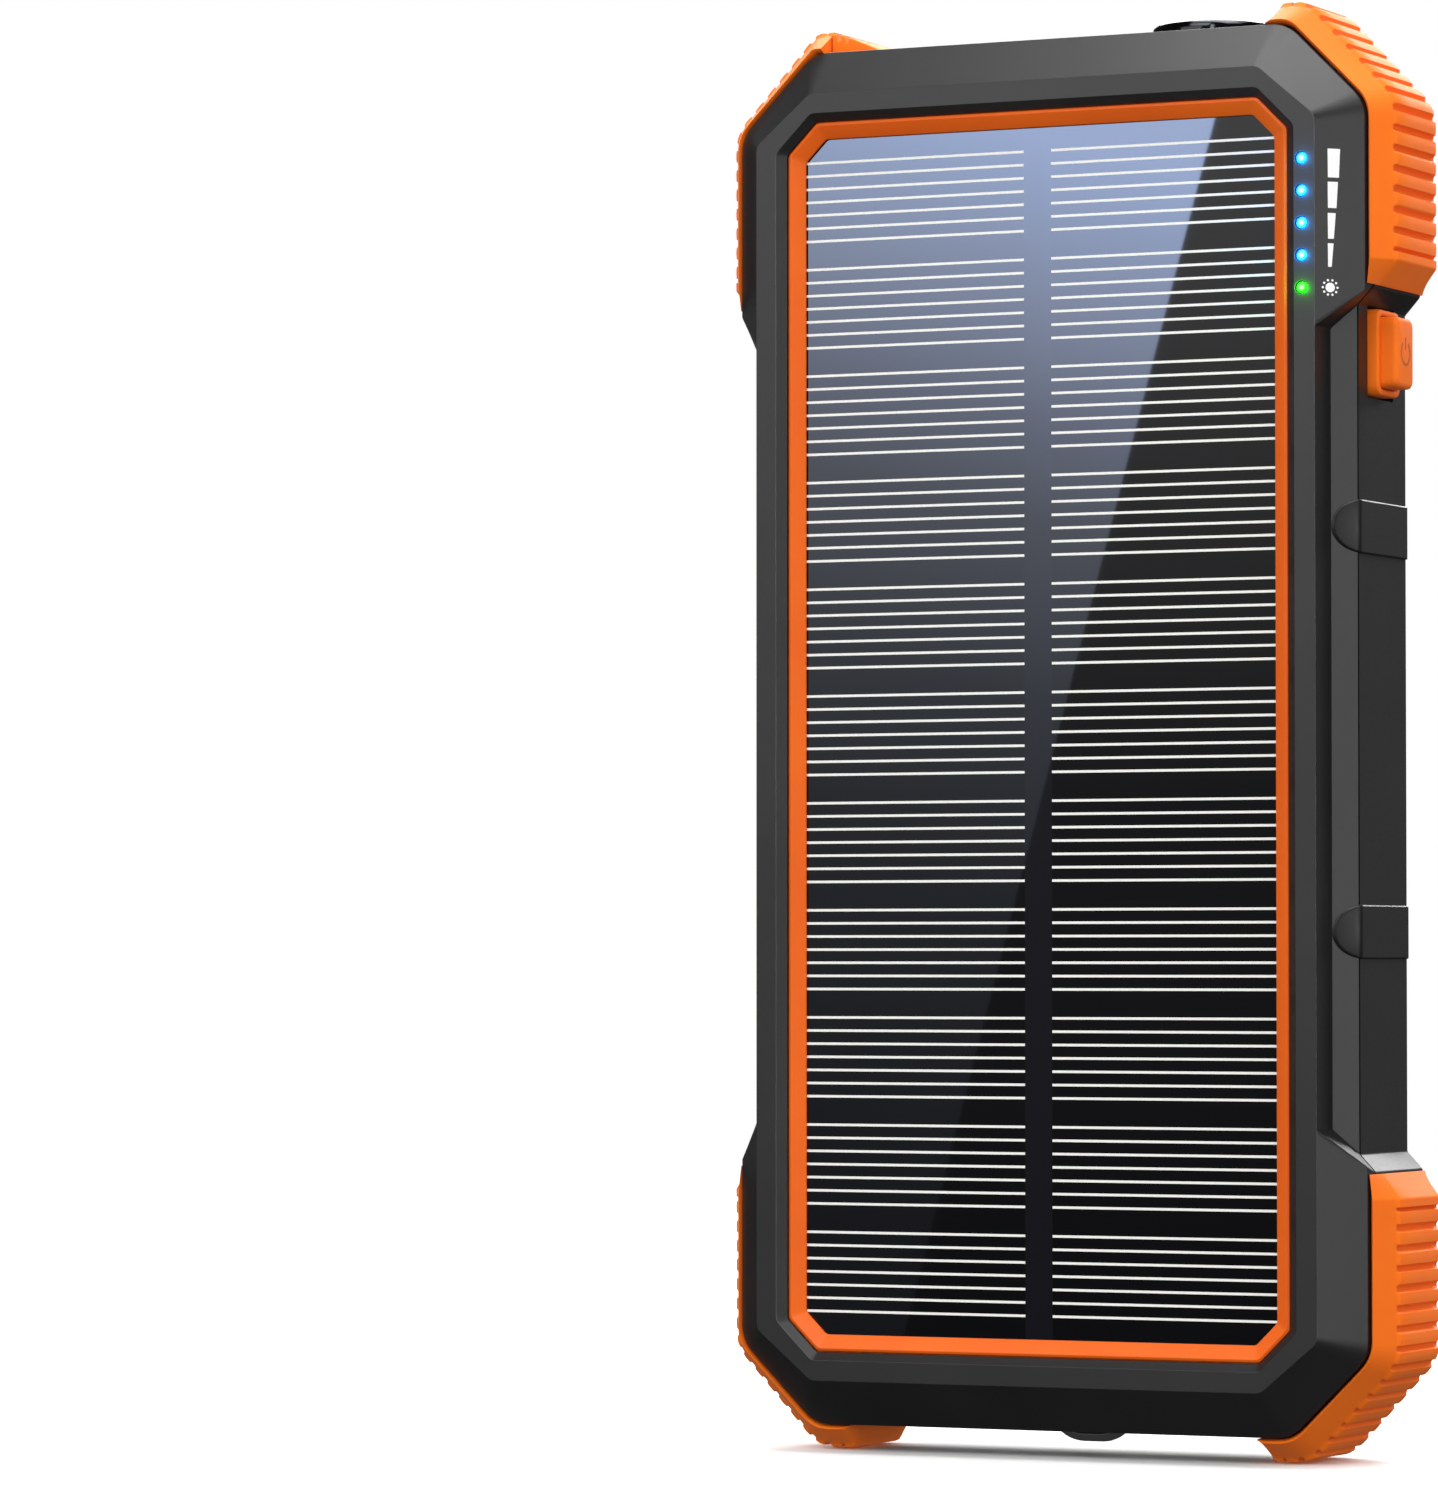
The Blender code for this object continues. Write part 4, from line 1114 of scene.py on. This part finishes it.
LETTERS = {
    "N": ((0, 0, 0, 4), (0, 4, 3, 0), (3, 0, 3, 4)),
    "E": ((3, 0, 0, 0), (0, 0, 0, 4), (0, 4, 3, 4), (0, 2, 2.4, 2)),
    "S": ((0, 0, 3, 0), (3, 0, 3, 2), (3, 2, 0, 2), (0, 2, 0, 4), (0, 4, 3, 4)),
    "W": ((0, 4, 0.8, 0), (0.8, 0, 1.5, 3), (1.5, 3, 2.2, 0), (2.2, 0, 3, 4)),
}


def add_stroke(bm, start, end, width, x_low, x_high):
    """A thin raised bar between two flat points on the compass card."""
    a, b = Vector(start), Vector(end)
    run = (b - a).normalized()
    across = Vector((-run.y, run.x)) * (width / 2)
    a -= run * (width / 2)
    b += run * (width / 2)
    add_prism(bm, [tuple(a - across), tuple(b - across), tuple(b + across), tuple(a + across)],
              "X", x_low, x_high)


def compass():
    """Oil-filled compass in the -X side: housing, bright rim, turning card and lens."""
    cup = [(0.3, -31.3), (6.6, -31.3), (6.6, -36.2), (6.45, -36.4), (6.05, -36.4), (5.9, -36.25),
           (5.9, -32.3), (0.3, -32.3)]
    turned_piece("compass_cup", COMPASS, "X", cup, "smooth_case", 64, True,
                 stands_for=["compass_housing"])
    rim = [(5.9, -34.5), (5.9, -35.1), (5.5, -34.75), (5.5, -34.5)]
    turned_piece("compass_rim", COMPASS, "X", rim, "chrome", 64, True)
    card = [(0.6, -33.7), (5.4, -33.7), (5.4, -34.15), (5.3, -34.2), (0.6, -34.2)]
    origin = (-34.0, *COMPASS)
    turned_piece("compass_dial", COMPASS, "X", card, "dial", 64, True, body="compass_card",
                 stands_for=["compass_card"], origin=origin)
    ticks = bmesh.new()
    teal = bmesh.new()
    y, z = COMPASS
    for k in range(72):
        angle = math.radians(5 * k)
        inner_r = 4.35 if k % 6 == 0 else 4.75
        width = 0.13 if k % 6 == 0 else 0.07
        ends = [(y + r * math.cos(angle), z + r * math.sin(angle)) for r in (inner_r, 5.15)]
        add_stroke(ticks, ends[0], ends[1], width, -34.24, -34.18)
    for k, letter in enumerate("NWSE"):
        angle = math.radians(90 + 90 * k)
        centre = Vector((y + 3.15 * math.cos(angle), z + 3.15 * math.sin(angle)))
        up = Vector((math.cos(angle), math.sin(angle)))
        right = Vector((-up.y, up.x))
        for x1, y1, x2, y2 in LETTERS[letter]:
            start = centre + right * (x1 - 1.5) * 0.42 + up * (y1 - 2) * 0.42
            end = centre + right * (x2 - 1.5) * 0.42 + up * (y2 - 2) * 0.42
            add_stroke(teal, start, end, 0.24, -34.26, -34.18)
    add_turned(teal, COMPASS, "X", [(1.0, -34.18), (1.0, -34.24), (0.8, -34.24), (0.8, -34.18)],
               32, closed=True)
    make_piece("compass_ticks", ticks, "ink", "compass_card", origin=origin)
    make_piece("compass_letters", teal, "teal", "compass_card", origin=origin)
    dome = [(5.6, -35.2), (5.6, -36.0), (5.3, -36.15), (4.0, -36.3), (2.0, -36.38), (0.6, -36.4)]
    lens = turned_piece("compass_crystal", COMPASS, "X", dome, "clear", 64,
                        stands_for=["compass_lens"])
    lens.visible_shadow = False


# ---- lights and printed marks -----------------------------------------------------------------

def indicator_lights():
    """Five small domed windows beside the panel, and three small windows in the back."""
    dome = [(0.68, -12.6), (0.68, -12.95), (0.6, -13.1), (0.42, -13.19), (0.18, -13.23)]
    for number, (colour, (x, z)) in enumerate(zip(FRONT_LED_COLOURS, FRONT_LED), 1):
        turned_piece("front_window_" + str(number), (x, z), "Y", dome, colour, 28,
                     origin=(x, -13.2, z))
    for number, (colour, (x, z)) in enumerate(zip(REAR_LED_COLOURS, REAR_LED), 1):
        bm = bmesh.new()
        outline = rounded_square((x, z), 1.0, 0.5, 0.3)
        add_loft(bm, [[(a, 9.6, b) for a, b in outline], [(a, 11.85, b) for a, b in outline],
                      [(a, 11.95, b) for a, b in grow(outline, -0.12)]])
        make_piece("rear_window_" + str(number), bm, colour, origin=(x, 11.9, z))


def slope_point(x, z):
    """A point on the right front slope, a hair above the plastic."""
    run = (x - CREST[0]) / (CASE[0] - CREST[0])
    return (x, -HALF_DEPTH + (FRONT_SLOPE_Y + HALF_DEPTH) * run - 0.02, z)


def add_decal(bm, outline):
    top = [bm.verts.new(slope_point(x, z)) for x, z in outline]
    low = [bm.verts.new((v.co.x, v.co.y + 0.05, v.co.z)) for v in top]
    bm.faces.new(top)
    bm.faces.new(low)
    for i in range(len(top)):
        j = (i + 1) % len(top)
        bm.faces.new((top[i], top[j], low[j], low[i]))


def printed_marks():
    """Four charge bars and a small sun, printed on the slope beside the lights."""
    bm = bmesh.new()
    left, squeeze = 34.72, 0.72             # the slope stretches widths, so they are drawn less
    bars = ((62.8, 59.67, 1.0, 0.9), (59.2, 56.35, 0.82, 0.7), (55.8, 53.0, 0.64, 0.48),
            (52.5, 49.95, 0.46, 0.3))
    for high, low, width_high, width_low in bars:
        add_decal(bm, [(left, high), (left + width_high, high), (left + width_low, low),
                       (left + 0.02, low)])
    centre = (34.9, 47.7)
    add_decal(bm, [(centre[0] + (x - centre[0]) * squeeze, z) for x, z in circle(centre, 0.52, 24)])
    for k in range(10):
        angle = math.pi * k / 5
        x, z = centre[0] + 0.82 * math.cos(angle) * squeeze, centre[1] + 0.82 * math.sin(angle)
        add_decal(bm, [(x + (a - x) * squeeze, b) for a, b in circle((x, z), 0.13, 10)])
    make_piece("charge_marks", bm, "ink")


# ---- studio ---------------------------------------------------------------------------------

def studio_floor():
    """A wide pale floor that fades into the white surroundings."""
    bm = bmesh.new()
    bmesh.ops.create_circle(bm, cap_ends=True, segments=96, radius=1.6)
    mesh = bpy.data.meshes.new("studio_floor")
    bm.to_mesh(mesh)
    bm.free()
    paper, shader = new_finish("seamless_paper", {"Roughness": 0.9, "Specular IOR Level": 0.1})
    place = add_node(paper, "TexCoord")
    reach = add_node(paper, "VectorMath", {"operation": "LENGTH"}, {0: place.outputs["Object"]})
    fade = add_node(paper, "MapRange", {"interpolation_type": "SMOOTHSTEP"}, {
        "Value": reach.outputs["Value"], "From Min": 0.35, "From Max": 1.25,
        "To Min": 1.0, "To Max": 0.0})
    fibre = add_node(paper, "TexNoise", inputs={"Scale": 900.0, "Detail": 3.0})
    tone = add_node(paper, "ValToRGB", inputs={"Fac": fibre.outputs["Fac"]})
    tone.color_ramp.elements[0].color = srgb("#F2F2F1")
    tone.color_ramp.elements[1].color = srgb("#FAFAF9")
    wire(paper, tone.outputs["Color"], shader.inputs["Base Color"])
    wire(paper, fade.outputs["Result"], shader.inputs["Alpha"])
    mesh.materials.append(paper)
    floor = bpy.data.objects.new("studio_floor", mesh)
    bpy.context.scene.collection.objects.link(floor)
    floor.location.z = -0.0002
    return floor


def area_light(name, place, aim, size, watts, receiver=None):
    """A white soft light aimed at a point; with a receiver, only that piece takes it."""
    light = bpy.data.lights.new(name, "AREA")
    light.shape = "RECTANGLE"
    light.size, light.size_y = size
    light.energy = watts
    made = bpy.data.objects.new(name, light)
    made.location = place
    made.rotation_euler = (Vector(aim) - Vector(place)).to_track_quat("-Z", "Y").to_euler()
    bpy.context.scene.collection.objects.link(made)
    if receiver:
        only_on(made, receiver)


def only_on(light, receiver):
    """Let a light reach one piece and nothing else."""
    lit = bpy.data.collections.new("lit_by_" + light.name)
    lit.objects.link(receiver)
    light.light_linking.receiver_collection = lit


def graded_light(name, centre, lean, size, radiance, stops, receiver=None):
    """A panel of light in front of the case, graded from its low edge to its high one.

    It faces +y and leans about y by an angle; with a receiver, only that piece takes it.
    """
    light = bpy.data.lights.new(name, "AREA")
    light.shape = "RECTANGLE"
    light.size, light.size_y = size
    light.energy = radiance * math.pi * size[0] * size[1]
    light.use_nodes = True
    light.node_tree.nodes.clear()
    surface = add_node(light, "NewGeometry")
    apart = add_node(light, "SeparateXYZ", inputs={"Vector": surface.outputs["Parametric"]})
    tone = add_node(light, "ValToRGB", inputs={"Fac": apart.outputs["Y"]})
    ramp = tone.color_ramp
    ramp.elements[0].position, ramp.elements[0].color = stops[0][0], srgb(stops[0][1])
    ramp.elements[1].position, ramp.elements[1].color = stops[-1][0], srgb(stops[-1][1])
    for share, code in stops[1:-1]:
        ramp.elements.new(share).color = srgb(code)
    glow = add_node(light, "Emission", inputs={"Color": tone.outputs["Color"], "Strength": 1.0})
    add_node(light, "OutputLight", inputs={"Surface": glow.outputs["Emission"]})
    made = bpy.data.objects.new(name, light)
    bpy.context.scene.collection.objects.link(made)
    cos, sin = math.cos(lean), math.sin(lean)
    turn = Matrix(((cos, sin, 0.0), (0.0, 0.0, -1.0), (-sin, cos, 0.0)))
    made.matrix_world = Matrix.Translation(centre) @ turn.to_4x4()
    if receiver:
        only_on(made, receiver)


def panel_reflections(panel, bezel):
    """A leaning blue sky panel only the cells mirror, a dim one for all, one for the bezel."""
    sky = ((0.17, "#121316"), (0.293, "#222428"), (0.362, "#34383F"), (0.422, "#545965"),
           (0.456, "#70788E"), (0.496, "#93A1C1"), (0.551, "#B6CDFD"), (0.65, "#C4D8FF"))
    graded_light("sky_panel", (-0.7642, -1.069, 0.3247), math.radians(15.7), (0.7, 0.8), 14.3,
                 sky, panel)
    grey = ((0.1, "#000000"), (0.3, "#3C3C3C"), (0.42, "#7A7A7A"), (0.55, "#B4B4B4"),
            (0.75, "#C8C8C8"))
    graded_light("neutral_panel", (-0.45, -1.08, 0.26), 0.0, (0.9, 0.8), 2.7, grey)
    graded_light("bezel_panel", (-0.45, -1.09, 0.3), 0.0, (0.9, 0.8), 2.6, grey, bezel)


def surroundings():
    """White to the camera, and nearly black in mirrors, so that black plastic stays black.

    Matt surfaces take a sky that grows brighter from below the horizon upwards.
    """
    world = bpy.data.worlds.new("studio_white")
    bpy.context.scene.world = world
    world.use_nodes = True
    world.node_tree.nodes.clear()
    path = add_node(world, "LightPath")
    heading = add_node(world, "TexCoord")
    apart = add_node(world, "SeparateXYZ", inputs={"Vector": heading.outputs["Generated"]})
    sky = add_node(world, "MapRange", inputs={
        "Value": apart.outputs["Z"], "From Min": -0.3, "From Max": 0.6,
        "To Min": 0.3, "To Max": 1.05})
    soft = add_node(world, "MapRange", inputs={
        "Value": path.outputs["Is Glossy Ray"], "To Min": sky.outputs["Result"], "To Max": 0.04})
    strength = add_node(world, "MapRange", inputs={
        "Value": path.outputs["Is Camera Ray"], "To Min": soft.outputs["Result"], "To Max": 1.0})
    background = add_node(world, "Background", inputs={
        "Color": srgb("#FFFFFF"), "Strength": strength.outputs["Result"]})
    add_node(world, "OutputWorld", inputs={"Surface": background.outputs["Background"]})


def studio(panel, bezel):
    """Floor, surroundings and lights; the floor stays out of mirrors and bounced light."""
    floor = studio_floor()
    floor.visible_glossy = False
    floor.visible_diffuse = False
    surroundings()
    panel_reflections(panel, bezel)
    centre = (0.0, 0.0, 0.08)
    # name, place, point it is aimed at, size, watts, and the one piece it lights if not all
    lights = (
        ("top_softbox", (0.045, 0.0, 0.43), (0.045, 0.0, 0.15), (0.26, 0.22), 0.75),
        ("high_right_softbox", (0.5, -0.2, 1.05), centre, (0.5, 0.6), 2.4),
        ("front_fill", (-0.1, -0.95, 0.95), centre, (0.7, 0.5), 3.4),
        ("edge_strip", (0.35, -0.95, 0.35), centre, (0.1, 0.9), 1.2),
        ("edge_glint", (0.35, -0.96, 0.35), centre, (0.07, 0.9), 8.0, bezel),
        ("right_card", (0.95, -0.32, 0.12), centre, (0.3, 0.7), 2.0),
        ("rear_right_card", (0.45, 0.95, 0.1), centre, (0.4, 0.6), 0.14),
        ("rear_strip", (0.0, 0.95, 0.47), centre, (0.6, 0.22), 4.0),
        ("rear_softbox", (-0.35, 0.75, 0.9), centre, (0.7, 0.5), 11.0),
        ("rear_panel", (-0.6, 1.3, 0.35), centre, (1.1, 0.9), 7.0),
    )
    for row in lights:
        area_light(*row)
    for (x, z), colour in zip(FRONT_LED, FRONT_LED_COLOURS):
        lamp_glow((x, -13.9, z), GLOW_COLOUR[colour])
    for (x, z), colour in zip(REAR_LED, REAR_LED_COLOURS):
        lamp_glow((x, 12.6, z), GLOW_COLOUR[colour])


def lamp_glow(place, colour):
    """Halo that a lit indicator throws on the plastic round it."""
    light = bpy.data.lights.new("lamp_glow", "POINT")
    light.energy = 0.0007
    light.shadow_soft_size = 0.0004
    light.color = srgb(colour)[:3]
    made = bpy.data.objects.new("lamp_glow", light)
    made.location = (place[0] * MM, place[1] * MM, place[2] * MM + HALF_HEIGHT * MM)
    bpy.context.scene.collection.objects.link(made)


def camera():
    """Long lens a little below the middle of the case, on the power-button side, tilted up."""
    lens = bpy.data.cameras.new("camera")
    lens.sensor_width = 36.0
    lens.lens = 167.2
    lens.clip_start = 0.05
    eye = bpy.data.objects.new("camera", lens)
    bpy.context.scene.collection.objects.link(eye)
    eye.location = (0.30976, -0.71632, 0.05452)
    tilt = math.radians(1.75)
    forward = Vector((-0.4437, 0.8962, 0.0)).normalized() * math.cos(tilt)
    forward.z = math.sin(tilt)
    eye.rotation_euler = forward.to_track_quat("-Z", "Y").to_euler()
    bpy.context.scene.camera = eye
    bpy.context.scene.view_settings.view_transform = "Standard"


def inner_finishes():
    """Inner parts keep their own shape and take a real finish."""
    for node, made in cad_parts.items():
        for start, finish in KEPT.items():
            if node.startswith(start):
                made.data.materials.clear()
                made.data.materials.append(FINISH[finish])


def build():
    bezel = bezel_shell()
    side_tongues()
    rear_shell()
    grip_domes()
    charging_pad()
    window_frame()
    panel = solar_face()
    corner_guards()
    port_flap()
    flashlight()
    case_screws()
    power_button()
    pull_ring()
    compass()
    indicator_lights()
    printed_marks()
    inner_finishes()
    studio(panel, bezel)
    camera()


build()
